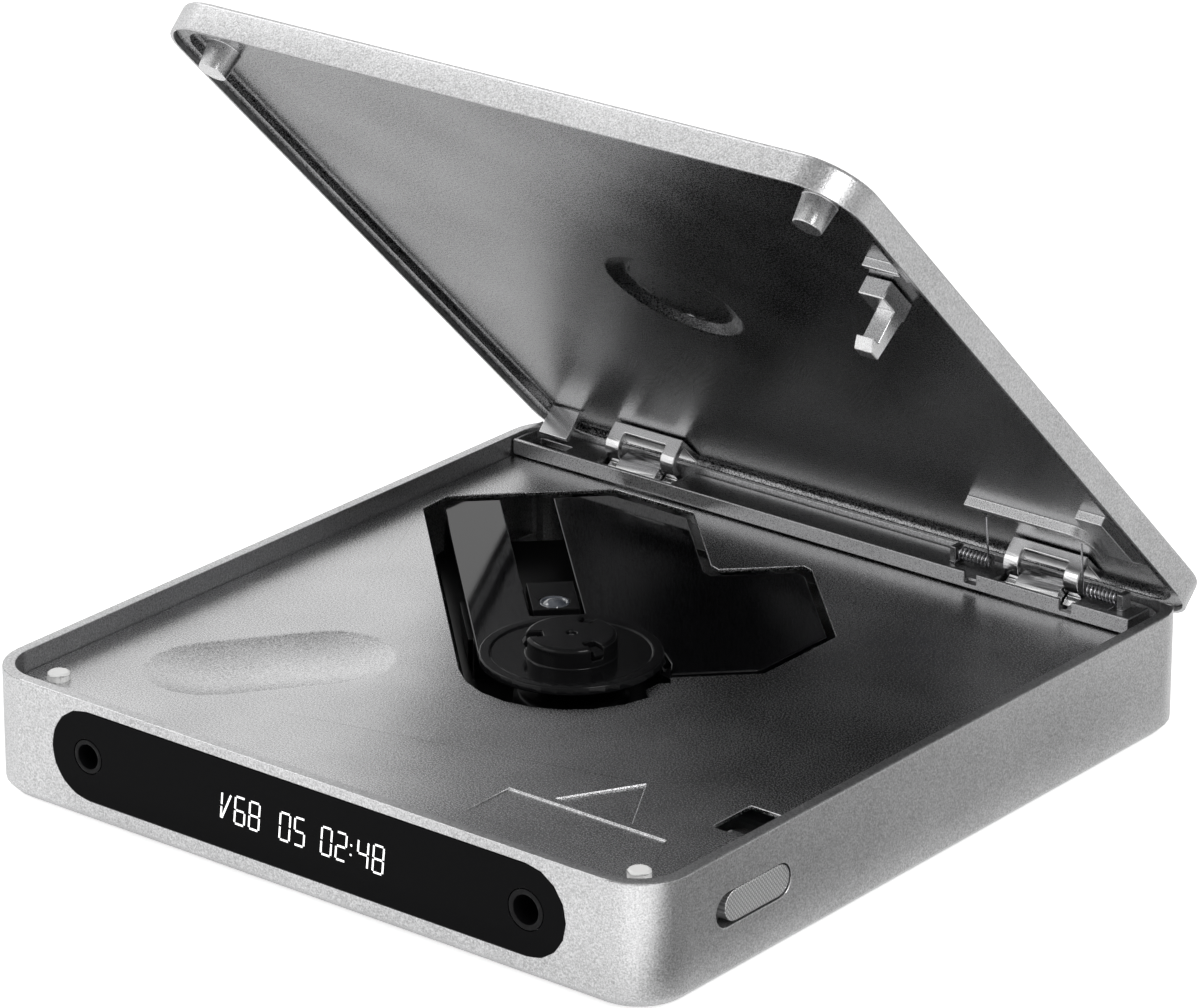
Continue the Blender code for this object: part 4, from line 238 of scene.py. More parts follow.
def blast_group() -> bpy.types.NodeTree:
    """Build the fine grain of blasted metal or moulded plastic.

    Returns:
        A group from Vector, Scale and Contrast to Shade, Rough and Height.
    """
    group, graph = new_group(
        "blasted_grain",
        {"Vector": "NodeSocketVector", "Scale": "NodeSocketFloat", "Contrast": "NodeSocketFloat"},
        {"Shade": "NodeSocketFloat", "Rough": "NodeSocketFloat", "Height": "NodeSocketFloat"},
    )
    source = graph.add("NodeGroupInput")
    fine = graph.add("ShaderNodeTexNoise", None, {
        "Vector": source.outputs["Vector"], "Scale": source.outputs["Scale"],
        "Detail": 1.0, "Roughness": 0.6,
    })
    coarse = graph.add("ShaderNodeTexNoise", None, {
        "Vector": source.outputs["Vector"], "Detail": 2.0,
        "Scale": graph.math("MULTIPLY", source.outputs["Scale"], COARSE_SCALE),
    })
    fine_part = graph.math("SUBTRACT", fine.outputs[0], 0.5)
    coarse_part = graph.math("SUBTRACT", coarse.outputs[0], 0.5)
    both = graph.math("ADD", fine_part, graph.math("MULTIPLY", coarse_part, COARSE_SHARE))
    scaled = graph.math("MULTIPLY", both, source.outputs["Contrast"])
    graph.add("NodeGroupOutput", None, {
        "Shade": graph.math("ADD", scaled, 1.0), "Rough": both, "Height": fine.outputs[0],
    })
    return group


def brush_group() -> bpy.types.NodeTree:
    """Build long fine scratches along one axis.

    Returns:
        A group from Vector and Stretch to Shade and Height.
    """
    group, graph = new_group(
        "brushed_lines",
        {"Vector": "NodeSocketVector", "Stretch": "NodeSocketVector"},
        {"Shade": "NodeSocketFloat", "Height": "NodeSocketFloat"},
    )
    source = graph.add("NodeGroupInput")
    stretched = graph.add("ShaderNodeVectorMath", {"operation": "MULTIPLY"}, {
        0: source.outputs["Vector"], 1: source.outputs["Stretch"],
    })
    noise = graph.add("ShaderNodeTexNoise", None, {
        "Vector": stretched.outputs[0], "Scale": 1.0, "Detail": 3.0, "Roughness": 0.6,
    })
    shade = graph.ramp(noise.outputs[0], (0.3, 0.7), (0.9, 1.08))
    graph.add("NodeGroupOutput", None, {"Shade": shade, "Height": noise.outputs[0]})
    return group


class Effects:
    """Shared node groups, each built once."""

    made: dict[str, bpy.types.NodeTree] = {}

    @classmethod
    def get(cls, name: str) -> bpy.types.NodeTree:
        """Return the named group, building it the first time."""
        if name not in cls.made:
            cls.made[name] = {"blast": blast_group, "brush": brush_group}[name]()
        return cls.made[name]


class Surface(Graph):
    """A material under construction, with its shader and the object coordinates."""

    def __init__(self, name: str) -> None:
        """Start the material.

        Args:
            name: Name of the material.
        """
        self.material = bpy.data.materials.new(name)
        self.material.use_nodes = True
        super().__init__(self.material.node_tree)
        self.shader = self.tree.nodes["Principled BSDF"]
        self.spot = self.add("ShaderNodeTexCoord").outputs["Object"]


@dataclass(frozen=True)
class Finish:
    """A finish with a fine grain: blasted metal, moulded plastic or rubber."""

    name: str
    colour: tuple[float, float, float]
    roughness: float
    metallic: float = 0.0
    grain: float = 4000.0
    contrast: float = 0.2
    rough_change: float = 0.1
    bump: float = 0.1
    bump_depth: float = 0.00002
    specular: float = 0.5
    coat: float = 0.0

    def material(self) -> bpy.types.Material:
        """Return the finish's material, building it the first time."""
        made = bpy.data.materials.get(self.name)
        if made is not None:
            return made
        surface = Surface(self.name)
        surface.fill(surface.shader, {
            "Metallic": self.metallic, "Specular IOR Level": self.specular, "Coat Weight": self.coat,
            "Coat Roughness": COAT_ROUGHNESS,
        })
        self.dress(surface)
        return surface.material

    def add_grain(self, surface: Surface) -> bpy.types.Node:
        """Add the fine grain at the object coordinates."""
        return surface.add("ShaderNodeGroup", {"node_tree": Effects.get("blast")}, {
            "Vector": surface.spot, "Scale": self.grain, "Contrast": self.contrast,
        })

    def dress(self, surface: Surface) -> None:
        """Link the grain to the shader.

        Args:
            surface: The material under construction.
        """
        grain = self.add_grain(surface)
        self.link(surface, grain.outputs["Shade"], grain.outputs["Rough"], grain.outputs["Height"])

    def link(self, surface: Surface, shade: Socket, rough: Socket, height: Socket) -> None:
        """Feed a shade, a roughness change and a height to the shader.

        Args:
            surface: The material under construction.
            shade: Factor on the colour.
            rough: Change of roughness about zero.
            height: Height for the bump.
        """
        colour = surface.add("ShaderNodeVectorMath", {"operation": "SCALE"}, {0: self.colour, "Scale": shade})
        roughness = surface.add("ShaderNodeMath", {"operation": "MULTIPLY_ADD", "use_clamp": True}, {
            0: rough, 1: self.rough_change, 2: self.roughness,
        })
        bump = surface.add("ShaderNodeBump", None, {
            "Strength": self.bump, "Distance": self.bump_depth, "Height": height,
        })
        surface.fill(surface.shader, {
            "Base Color": colour.outputs[0], "Roughness": roughness.outputs[0], "Normal": bump.outputs[0],
        })


@dataclass(frozen=True)
class BrushedFinish(Finish):
    """Metal drawn or brushed along one axis."""

    stretch: tuple[float, float, float] = (300.0, 6000.0, 6000.0)

    def dress(self, surface: Surface) -> None:
        """Link the scratches to the shader.

        Args:
            surface: The material under construction.
        """
        lines = surface.add("ShaderNodeGroup", {"node_tree": Effects.get("brush")}, {
            "Vector": surface.spot, "Stretch": self.stretch,
        })
        height = lines.outputs["Height"]
        self.link(surface, lines.outputs["Shade"], surface.math("SUBTRACT", height, 0.5), height)


@dataclass(frozen=True)
class RingedFinish(Finish):
    """Moulded plastic with fine turning rings about the spindle."""

    pitch: float = 0.00035

    def dress(self, surface: Surface) -> None:
        """Link the rings to the shader.

        Args:
            surface: The material under construction.
        """
        centre = place(0, Mechanism.spindle_y, 0)
        shifted = surface.add("ShaderNodeMapping", None, {
            "Vector": surface.spot, "Location": (-centre.x, -centre.y, 0.0),
        })
        rings = surface.add("ShaderNodeTexWave", {"wave_type": "RINGS", "rings_direction": "Z"}, {
            "Vector": shifted.outputs[0], "Scale": WAVE_TURN / self.pitch, "Distortion": 0.0,
        })
        grain = self.add_grain(surface)
        self.link(surface, grain.outputs["Shade"], grain.outputs["Rough"], rings.outputs["Fac"])


@dataclass(frozen=True)
class KnurledFinish(Finish):
    """Blasted metal with a fine crossed knurl on the faces towards X, with painted shade in the knurl's
    grooves.
    """

    pitch: float = 0.00052
    slant: float = 40.0
    # Colour factor over the knurl's height: painted shade in the grooves.
    shading: Range = ((0.0, 0.5), (0.6, 1.05))

    def dress(self, surface: Surface) -> None:
        """Link the knurl to the shader.

        Args:
            surface: The material under construction.
        """
        heights = []
        for turn in (self.slant, -self.slant):
            turned = surface.add("ShaderNodeMapping", None, {
                "Vector": surface.spot, "Rotation": (radians(turn), 0.0, 0.0),
            })
            wave = surface.add("ShaderNodeTexWave", {"bands_direction": "Y"}, {
                "Vector": turned.outputs[0], "Scale": WAVE_TURN / self.pitch, "Distortion": 0.0,
            })
            heights.append(wave.outputs["Fac"])
        crossed = surface.math("MINIMUM", *heights)
        # Darker in the knurl's grooves: painted shade.
        shade = surface.ramp(crossed, *self.shading)
        self.link(surface, shade, surface.math("SUBTRACT", 0.5, crossed), crossed)


@dataclass(frozen=True)
class GlowFinish:
    """A lit display segment."""

    name: str
    colour: tuple[float, float, float]
    strength: float
    roughness: float = 0.3
    grain: float = 900.0
    unevenness: tuple[float, float] = (0.9, 1.05)

    def material(self) -> bpy.types.Material:
        """Return the glow's material, building it the first time."""
        made = bpy.data.materials.get(self.name)
        if made is not None:
            return made
        surface = Surface(self.name)
        noise = surface.add("ShaderNodeTexNoise", None, {"Vector": surface.spot, "Scale": self.grain})
        glow = surface.ramp(noise.outputs[0], (0.0, 1.0), self.unevenness)
        scaled = surface.add("ShaderNodeVectorMath", {"operation": "SCALE"}, {0: self.colour, "Scale": glow})
        colour = scaled.outputs[0]
        surface.fill(surface.shader, {
            "Roughness": self.roughness, "Base Color": colour, "Emission Color": colour,
            "Emission Strength": self.strength,
        })
        return surface.material


BLASTED = Finish("blasted_aluminium", (0.62, 0.62, 0.625), 0.36, 1.0, 3700.0, 1.35, 0.3, 0.5, 0.00005)
DECK_METAL = Finish("blasted_deck", (0.60, 0.60, 0.605), 0.26, 1.0, 3800.0, 2.1, 0.5, 0.7, 0.00004)
# Darker copy of the blasted aluminium for the lid's lining: painted shade inside the open lid.
LID_INSIDE_PAINTED_SHADE = Finish("blasted_lid_lining_painted_shade", (0.26, 0.26, 0.265), 0.26, 1.0, 3800.0, 4.0, 0.6, 0.7, 0.00004)
# Darker copy of the blasted aluminium for the hinge bar: painted shade under the open lid.
BAR_METAL_PAINTED_SHADE = Finish("blasted_hinge_bar_painted_shade", (0.36, 0.36, 0.365), 0.32, 1.0, 5000.0, 1.8, 0.3, 0.5, 0.00004)
# Lighter copy of the blasted aluminium for the lid's posts, ribs and hook: painted light.
BLAST_PAINTED_LIGHT = Finish("blasted_lid_posts_painted_light", (0.74, 0.74, 0.745), 0.3, 1.0, 5000.0, 1.2, 0.3, 0.5, 0.00004)
BLACKENED = Finish("blackened_steel", (0.02, 0.02, 0.021), 0.4, 1.0, 3200.0, 0.4, 0.1, 0.1, 0.00001)
BRIGHT = Finish("bright_hinge_steel", (0.80, 0.80, 0.805), 0.2, 1.0, 6000.0, 0.12, 0.08, 0.15, 0.00001)
DRAWN = BrushedFinish("drawn_steel", (0.74, 0.74, 0.75), 0.2, 1.0, bump=0.1, bump_depth=0.000005)
WIRE = Finish("spring_wire", (0.62, 0.62, 0.64), 0.22, 1.0, 9000.0, 0.1, 0.08, 0.05, 0.000005)
# Lighter than the blasted aluminium as painted light, making up for the painted shade in the grooves.
KNURLED = KnurledFinish("knurled_aluminium", (0.90, 0.90, 0.905), 0.34, 1.0, bump=0.7, bump_depth=0.00012)
GLOSS = Finish(
    "gloss_black_panel", (0.003, 0.003, 0.0035), 0.05, 0.0, 800.0, 0.3, 0.03, 0.02, 0.000004, 0.05,
)
PIANO = Finish(
    "gloss_black_cover", (0.002, 0.002, 0.0025), 0.07, 0.0, 900.0, 0.3, 0.05, 0.03, 0.000006, 0.4,
)
TURNED = RingedFinish(
    "turned_black_plastic", (0.006, 0.006, 0.0065), 0.13, 0.0, 5000.0, 0.3, 0.05, 0.15, 0.000005, 0.2,
)
MOULDED = Finish(
    "moulded_black_plastic", (0.005, 0.005, 0.0055), 0.32, 0.0, 3500.0, 0.4, 0.12, 0.2, 0.00002, 0.13,
)
WHITE_RUBBER = Finish("white_silicone", (0.97, 0.97, 0.96), 0.5, 0.0, 3000.0, 0.06, 0.1, 0.15, 0.00002)
BLACK_RUBBER = Finish("black_silicone", (0.03, 0.03, 0.03), 0.75, 0.0, 2500.0, 0.25, 0.1, 0.3, 0.00003)
DISPLAY = Finish("display_film", (0.012, 0.012, 0.015), 0.2, 0.0, 2500.0, 0.2, 0.05, 0.05, 0.00001)
BOARD = Finish("board_laminate", (0.03, 0.13, 0.07), 0.42, 0.0, 900.0, 0.5, 0.2, 0.3, 0.00004)
FOIL = Finish("battery_wrap", (0.45, 0.46, 0.48), 0.36, 0.4, 700.0, 0.25, 0.2, 0.3, 0.00005)
COATED = Finish("coated_lens", (0.09, 0.10, 0.12), 0.03, 0.0, 1500.0, 0.2, 0.02, 0.02, 0.000003, 1.0, 1.0)
BRASS = BrushedFinish("turned_brass", (0.72, 0.56, 0.32), 0.28, 1.0, bump=0.2, bump_depth=0.00001)
LIT = GlowFinish("lit_segment", (1.0, 1.0, 1.0), 1.0)


def show(name: str, data: bpy.types.ID) -> bpy.types.Object:
    """Put data into the scene as an object."""
    made = bpy.data.objects.new(name, data)
    bpy.context.scene.collection.objects.link(made)
    return made


def aim(thing: bpy.types.Object, spot: Vector, back: Vector) -> None:
    """Stand a camera or lamp on a spot with its back to a direction."""
    thing.location = spot
    thing.rotation_mode = "QUATERNION"
    thing.rotation_quaternion = back.to_track_quat("Z", "Y")


def add_piece(
    name: str, body: bmesh.types.BMesh, finish: Finish | GlowFinish, carrier: Body | str,
) -> bpy.types.Object:
    """Make an object of a mesh under construction, dress it and let it ride.

    Args:
        name: Name of the piece.
        body: The mesh, in the shared frame. It is freed.
        finish: Finish of the piece.
        carrier: Body that the piece rides on.

    Returns:
        The new object.
    """
    mesh = bpy.data.meshes.new(name)
    for face in body.faces:
        face.smooth = True
    body.to_mesh(mesh)
    body.free()
    mesh.set_sharp_from_angle(angle=radians(SHARP_ANGLE))
    piece = show(name, mesh)
    piece.data.materials.append(finish.material())
    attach(piece, carrier.value if isinstance(carrier, Body) else carrier)
    return piece


def merged_copy(node: str) -> bmesh.types.BMesh:
    """Return a node's mesh with its triangles joined.

    Args:
        node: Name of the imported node.

    Returns:
        The joined mesh.
    """
    body = bmesh.new()
    body.from_mesh(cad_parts[node].data)
    bmesh.ops.remove_doubles(body, verts=body.verts, dist=WELD)
    return body


def chamfer_loop(
    body: bmesh.types.BMesh, edges: list[bmesh.types.BMEdge], width: float, segments: int,
) -> None:
    """Round chosen edges of a mesh under construction.

    Args:
        body: The mesh.
        edges: Edges that are rounded.
        width: Width of the rounding in metres.
        segments: Steps across it.
    """
    bmesh.ops.bevel(
        body, geom=edges, offset=width, offset_type="OFFSET", segments=segments, profile=0.5,
        affect="EDGES", material=-1, loop_slide=False,
    )


def trim(body: bmesh.types.BMesh, spot: Vector, outward: Vector) -> None:
    """Cut off what lies beyond a plane and close the cut.

    Args:
        body: The mesh.
        spot: A point of the plane.
        outward: Direction of the part that goes.
    """
    bmesh.ops.bisect_plane(
        body, geom=[*body.verts, *body.edges, *body.faces], dist=TOUCH, plane_co=spot, plane_no=outward,
        clear_outer=True,
    )
    bmesh.ops.holes_fill(body, edges=[edge for edge in body.edges if edge.is_boundary], sides=0)


def lathe(profile: tuple[tuple[float, float], ...], centre: Vector, steps: int) -> bmesh.types.BMesh:
    """Turn a profile about an upright axis into a closed form.

    Args:
        profile: Radius and height of each point in millimetres, from the axis back to the axis.
        centre: Foot of the axis.
        steps: Steps around it.

    Returns:
        The form.
    """
    body = bmesh.new()
    rings = []
    for radius, height in profile:
        turns = [2 * pi * step / steps for step in range(steps if radius else 1)]
        rings.append([
            body.verts.new(centre + Vector((radius * cos(turn), radius * sin(turn), height)) * MM)
            for turn in turns
        ])
    for near, far in zip(rings, rings[1:]):
        for step in range(steps):
            following = (step + 1) % steps
            corners = [near[step % len(near)], near[following % len(near)],
                       far[following % len(far)], far[step % len(far)]]
            body.faces.new(list(dict.fromkeys(corners)))
    bmesh.ops.recalc_face_normals(body, faces=body.faces)
    return body


def round_edges(
    piece: bpy.types.Object, width: float, segments: int = 2, angle: float = SHARP_ANGLE,
) -> None:
    """Round a piece's sharp edges so that they catch the light.

    Args:
        piece: The piece.
        width: Width of the rounding.
        segments: Steps across it.
        angle: Least angle of an edge that is rounded.
    """
    edge = piece.modifiers.new("edge", "BEVEL")
    edge.width = width
    edge.segments = segments
    edge.limit_method = "ANGLE"
    edge.angle_limit = radians(angle)
    edge.use_clamp_overlap = False
    edge.loop_slide = False
    edge.miter_outer = "MITER_ARC"


def flatten_shading(piece: bpy.types.Object) -> None:
    """Let a piece's large flat faces keep their own direction in the shading.

    Args:
        piece: The piece.
    """
    shading = piece.modifiers.new("shading", "WEIGHTED_NORMAL")
    shading.mode = "FACE_AREA"
    shading.weight = FLAT_WEIGHT
    shading.keep_sharp = True


def dress_node(
    node: str, finish: Finish, carrier: Body | str, edge: float = 0.0, segments: int = 2,
    angle: float = SHARP_ANGLE, body: bmesh.types.BMesh | None = None,
) -> bpy.types.Object:
    """Stand a form with softened edges in for a node.

    Args:
        node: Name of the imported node.
        finish: Finish of the piece.
        carrier: Body that the piece rides on.
        edge: Width of its rounded edges.
        segments: Steps across them.
        angle: Least angle of an edge that is rounded.
        body: The form, which is freed, or None for the node's own.

    Returns:
        The new piece.
    """
    piece = add_piece(f"{node}_skin", body or merged_copy(node), finish, carrier)
    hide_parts(node)
    if edge:
        round_edges(piece, edge, segments, angle)
    flatten_shading(piece)
    return piece


def paint_node(node: str, finish: Finish) -> None:
    """Give a node that stays its material.

    Args:
        node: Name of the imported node.
        finish: Finish of the node.
    """
    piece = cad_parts[node]
    piece.data.materials.clear()
    piece.data.materials.append(finish.material())


def coil(
    name: str, points: list[Vector], radius: float, finish: Finish, carrier: Body | str, node: str,
) -> bpy.types.Object:
    """Make a smooth round wire along its points and stand it in for a node.

    Args:
        name: Name of the piece.
        points: Points along the wire's middle.
        radius: Radius of the wire.
        finish: Finish of the wire.
        carrier: Body that the wire rides on.
        node: Node that the wire replaces.

    Returns:
        The wire as a mesh object.
    """
    curve = bpy.data.curves.new(name, "CURVE")
    curve.dimensions = "3D"
    curve.bevel_depth = radius
    curve.bevel_resolution = WIRE_STEPS
    curve.use_fill_caps = True
    spline = curve.splines.new("POLY")
    spline.points.add(len(points) - 1)
    for point, spot in zip(spline.points, points):
        point.co = (*spot, 1.0)
    holder = show(name, curve)
    bpy.context.view_layer.update()
    mesh = bpy.data.meshes.new_from_object(holder.evaluated_get(bpy.context.evaluated_depsgraph_get()))
    bpy.data.objects.remove(holder, do_unlink=True)
    body = bmesh.new()
    body.from_mesh(mesh)
    bpy.data.meshes.remove(mesh)
    bmesh.ops.remove_doubles(body, verts=body.verts, dist=WIRE_WELD)
    bmesh.ops.recalc_face_normals(body, faces=body.faces)
    piece = add_piece(name, body, finish, carrier)
    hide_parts(node)
    return piece


@dataclass
class Housing:
    """The machined frame, its bottom cover, feet and screws."""

    edge: float = 0.00016
    foot_edge: float = 0.00015
    rim_rounding: float = 0.0008
    rim_steps: int = 4
    rim_angle: float = 60.0
    corner_radius: float = 0.0094
    outline_slack: float = 0.0001
    corners: int = 4

    def build(self) -> None:
        """Build the frame and what is under it."""
        body = merged_copy("base_housing")
        self.soften_rim(body)
        dress_node("base_housing", BLASTED, Body.BASE, self.edge, body=body)
        dress_node("bottom_cover", BLASTED, Body.BASE, self.foot_edge)
        for number in range(1, self.corners + 1):
            dress_node(f"foot_{number}", BLACK_RUBBER, Body.BASE, self.foot_edge)
            dress_node(f"cover_screw_{number}", DRAWN, Body.BASE)

    def soften_rim(self, body: bmesh.types.BMesh) -> None:
        """Round the outer edge of the rim's top.

        Args:
            body: The frame's mesh.
        """
        top = max(vert.co.z for vert in body.verts)
        loop = [
            edge for edge in body.edges
            if all(abs(vert.co.z - top) < HAIR and self.on_outline(vert.co) for vert in edge.verts)
            and edge.is_manifold and edge.calc_face_angle(0.0) > radians(self.rim_angle)
        ]
        chamfer_loop(body, loop, self.rim_rounding, self.rim_steps)

    def on_outline(self, spot: Vector) -> bool:
        """Return whether a spot lies on the frame's outline seen from above."""
        flat = spot - SHIFT
        half = Vector((HOUSING_HIGH[0] - HOUSING_LOW[0], HOUSING_HIGH[1] - HOUSING_LOW[1])) / 2
        inner = Vector((half.x - self.corner_radius, half.y - self.corner_radius))
        away = Vector((max(0.0, abs(flat.x) - inner.x), max(0.0, abs(flat.y) - inner.y)))
        return away.length > self.corner_radius - self.outline_slack


@dataclass
class Deck:
    """The plate under the disc with its finger scoop, and the two white bumpers on it."""

    edge: float = 0.00012
    top: float = 17.4
    scoop_centre: tuple[float, float] = (-38.4, -35.7)
    scoop_length: float = 42.0
    scoop_width: float = 22.4
    scoop_turn: float = 53.0
    scoop_depth: float = 1.3
    scoop_rings: int = 18
    scoop_dish: float = 1.25
    bumper_edge: float = 0.0003
    bumper_growth: float = 1.2

    def axis_point(self, spot: Vector) -> Vector:
        """Return the point of the scoop's middle line that is nearest to a spot."""
        turn = radians(self.scoop_turn)
        along = Vector((cos(turn), sin(turn), 0))
        centre = place(*self.scoop_centre, self.top)
        half = (self.scoop_length - self.scoop_width) / 2 * MM
        reach = max(-half, min(half, (spot - centre).dot(along)))
        return centre + along * reach

    def inside(self, spot: Vector) -> bool:
        """Return whether a spot lies over the scoop."""
        nearest = self.axis_point(spot)
        flat = Vector((spot.x - nearest.x, spot.y - nearest.y))
        return flat.length < self.scoop_width / 2 * MM + HAIR

    def build(self) -> None:
        """Build the plate with its scoop, and the bumpers."""
        body = merged_copy("deck_plate")
        self.soften_scoop(body)
        dress_node("deck_plate", DECK_METAL, Body.BASE, self.edge, body=body)
        for side in ("left", "right"):
            node = f"bumper_{side}"
            body = merged_copy(node)
            middle = sum((vert.co for vert in body.verts), Vector()) / len(body.verts)
            for vert in body.verts:
                vert.co.x = middle.x + (vert.co.x - middle.x) * self.bumper_growth
                vert.co.y = middle.y + (vert.co.y - middle.y) * self.bumper_growth
            dress_node(node, WHITE_RUBBER, Body.BASE, self.bumper_edge, 3, body=body)

    def soften_scoop(self, body: bmesh.types.BMesh) -> None:
        """Swap the scoop's stepped hollow for a smooth dish.

        Args:
            body: The plate's mesh.
        """
        top = place(0, 0, self.top).z
        floor = top - self.scoop_depth * MM - HAIR
        hollow = [vert for vert in body.verts if floor < vert.co.z < top - HAIR and self.inside(vert.co)]
        bmesh.ops.delete(body, geom=hollow, context="VERTS")
        ring = [edge for edge in body.edges if edge.is_boundary]
        for step in range(1, self.scoop_rings + 1):
            made = bmesh.ops.extrude_edge_only(body, edges=ring)
            ring = [
                item for item in made["geom"] if isinstance(item, bmesh.types.BMEdge) and item.is_boundary
            ]
            fall = 1 - step / self.scoop_rings
            drop = self.scoop_dish * MM * (1 - fall * fall)
            left = (self.scoop_rings - step) / (self.scoop_rings - step + 1)
            for vert in (item for item in made["geom"] if isinstance(item, bmesh.types.BMVert)):
                nearest = self.axis_point(vert.co)
                vert.co.x = nearest.x + (vert.co.x - nearest.x) * left
                vert.co.y = nearest.y + (vert.co.y - nearest.y) * left
                vert.co.z = top - drop
        bmesh.ops.remove_doubles(body, verts=body.verts, dist=WELD)
        bmesh.ops.recalc_face_normals(body, faces=body.faces)


@dataclass
class FrontPanel:
    """The gloss window, the lit digits on it and the two headphone sockets."""

    edge: float = 0.00008
    ring_steps: int = 96
    window_z: float = 11.55
    window_run: float = 44.8
    window_radius: float = 7.62
    window_rise: float = 0.02
    window_depth: float = 1.0
    window_angle: float = 60.0
    holes: tuple[tuple[float, float], ...] = ((-44.8, 2.98), (44.8, 3.48))
    front_y: float = -72.0
    middle_z: float = 11.35
    digit_height: float = 4.7
    digit_width: float = 2.0
    digit_rise: float = 0.008
    digit_depth: float = 0.02
    stroke: float = 0.34
    gap_share: float = 0.55
    colon_share: float = 0.35
    slant: float = 0.10
    groups: tuple[tuple[float, str], ...] = (
        (-16.4, "V"), (-13.6, "6"), (-10.6, "8"), (-4.3, "0"), (-1.3, "5"),
        (4.2, "0"), (7.2, "2"), (10.2, ":"), (11.6, "4"), (14.7, "8"),
    )
    segments: dict[str, str] = field(default_factory=lambda: {
        "0": "abcdef", "2": "abged", "4": "fgbc", "5": "afgcd", "6": "afgedc", "8": "abcdefg", "V": "fhi",
    })

    def build(self) -> None:
        """Build the window, the digits and the sockets."""
        self.build_window()
        for name in ("headphone_jack_small", "headphone_jack_large"):
            dress_node(name, MOULDED, Body.BASE, self.edge)
        paint_node("display_module", DISPLAY)
        self.build_digits()
        dress_node("usb_socket", DRAWN, Body.BASE)

    def outline(self, middle: tuple[float, float], half_run: float, radius: float) -> list[Vector]:
        """Return the points of a smooth stadium or circle on the window's face.

        Args:
            middle: Place along the front and height of its middle.
            half_run: Half of its straight run.
            radius: Radius of its ends.

        Returns:
            The points in turn.
        """
        points = []
        for step in range(self.ring_steps):
            turn = 2 * pi * (step + 0.5) / self.ring_steps
            run = half_run if cos(turn) > 0 else -half_run
            points.append(place(middle[0] + run + radius * cos(turn), self.front_y - self.window_rise,
                                middle[1] + radius * sin(turn)))
        return points

    def build_window(self) -> None:
        """Build the window's smooth plate with its two round holes."""
        body = bmesh.new()
        loops = [self.outline((0, self.window_z), self.window_run, self.window_radius)]
        loops += [self.outline((across, self.window_z), 0.0, radius) for across, radius in self.holes]
        edges = []
        for loop in loops:
            verts = [body.verts.new(point) for point in loop]
            edges += [body.edges.new(pair) for pair in zip(verts, [*verts[1:], verts[0]])]
        bmesh.ops.triangle_fill(body, use_beauty=True, edges=edges, normal=(0, -1, 0))
        made = bmesh.ops.extrude_face_region(body, geom=list(body.faces), use_keep_orig=True)
        back = [item for item in made["geom"] if isinstance(item, bmesh.types.BMVert)]
        bmesh.ops.translate(body, verts=back, vec=(0, self.window_depth * MM, 0))
        bmesh.ops.recalc_face_normals(body, faces=body.faces)
        dress_node("front_window", GLOSS, Body.BASE, self.edge, 2, self.window_angle, body)

    def bar(self, body: bmesh.types.BMesh, start: tuple[float, float], end: tuple[float, float]) -> None:
        """Add one lit stroke between two points of the window.

        Args:
            body: Mesh that takes the stroke.
            start: Place along the front and height of one end.
            end: The same for the other end.
        """
        first, last = Vector(start), Vector(end)
        length = (last - first).length
        middle = (first + last) / 2
        angle = Vector((1, 0)).angle_signed(last - first)
        size = Matrix.Diagonal((length * MM, self.digit_depth * MM, self.stroke * MM, 1))
        turn = Matrix.Rotation(angle, 4, "Y")
        face = self.front_y - self.window_rise - self.digit_rise
        spot = Matrix.Translation(place(middle.x, face, middle.y))
        bmesh.ops.create_cube(body, size=1.0, matrix=spot @ turn @ size)

    def build_digits(self) -> None:
        """Build the lit digits."""
        body = bmesh.new()
        half = self.digit_height / 2
        gap = self.stroke * self.gap_share
        low, centre, high = self.middle_z - half, self.middle_z, self.middle_z + half

        def at(x: float, z: float) -> tuple[float, float]:
            """Return a slanted point."""
            return x + (z - centre) * self.slant, z

        for left, sign in self.groups:
            right = left + self.digit_width
            strokes = {
                "a": (at(left + gap, high), at(right - gap, high)),
                "d": (at(left + gap, low), at(right - gap, low)),
                "g": (at(left + gap, centre), at(right - gap, centre)),
                "f": (at(left, high - gap), at(left, centre + gap)),
                "b": (at(right, high - gap), at(right, centre + gap)),
                "e": (at(left, low + gap), at(left, centre - gap)),
                "c": (at(right, low + gap), at(right, centre - gap)),
                "h": (at(left, centre - gap), at(left, low + gap)),
                "i": (at(left + gap, low + gap), at(right - gap, high - gap)),
            }
            if sign == ":":
                for level in (-self.colon_share, self.colon_share):
                    across, up = at(left, centre + half * level)
                    self.bar(body, (across - self.stroke / 2, up), (across + self.stroke / 2, up))
            else:
                for letter in self.segments[sign]:
                    self.bar(body, *strokes[letter])
        add_piece("display_digits", body, LIT, Body.BASE)


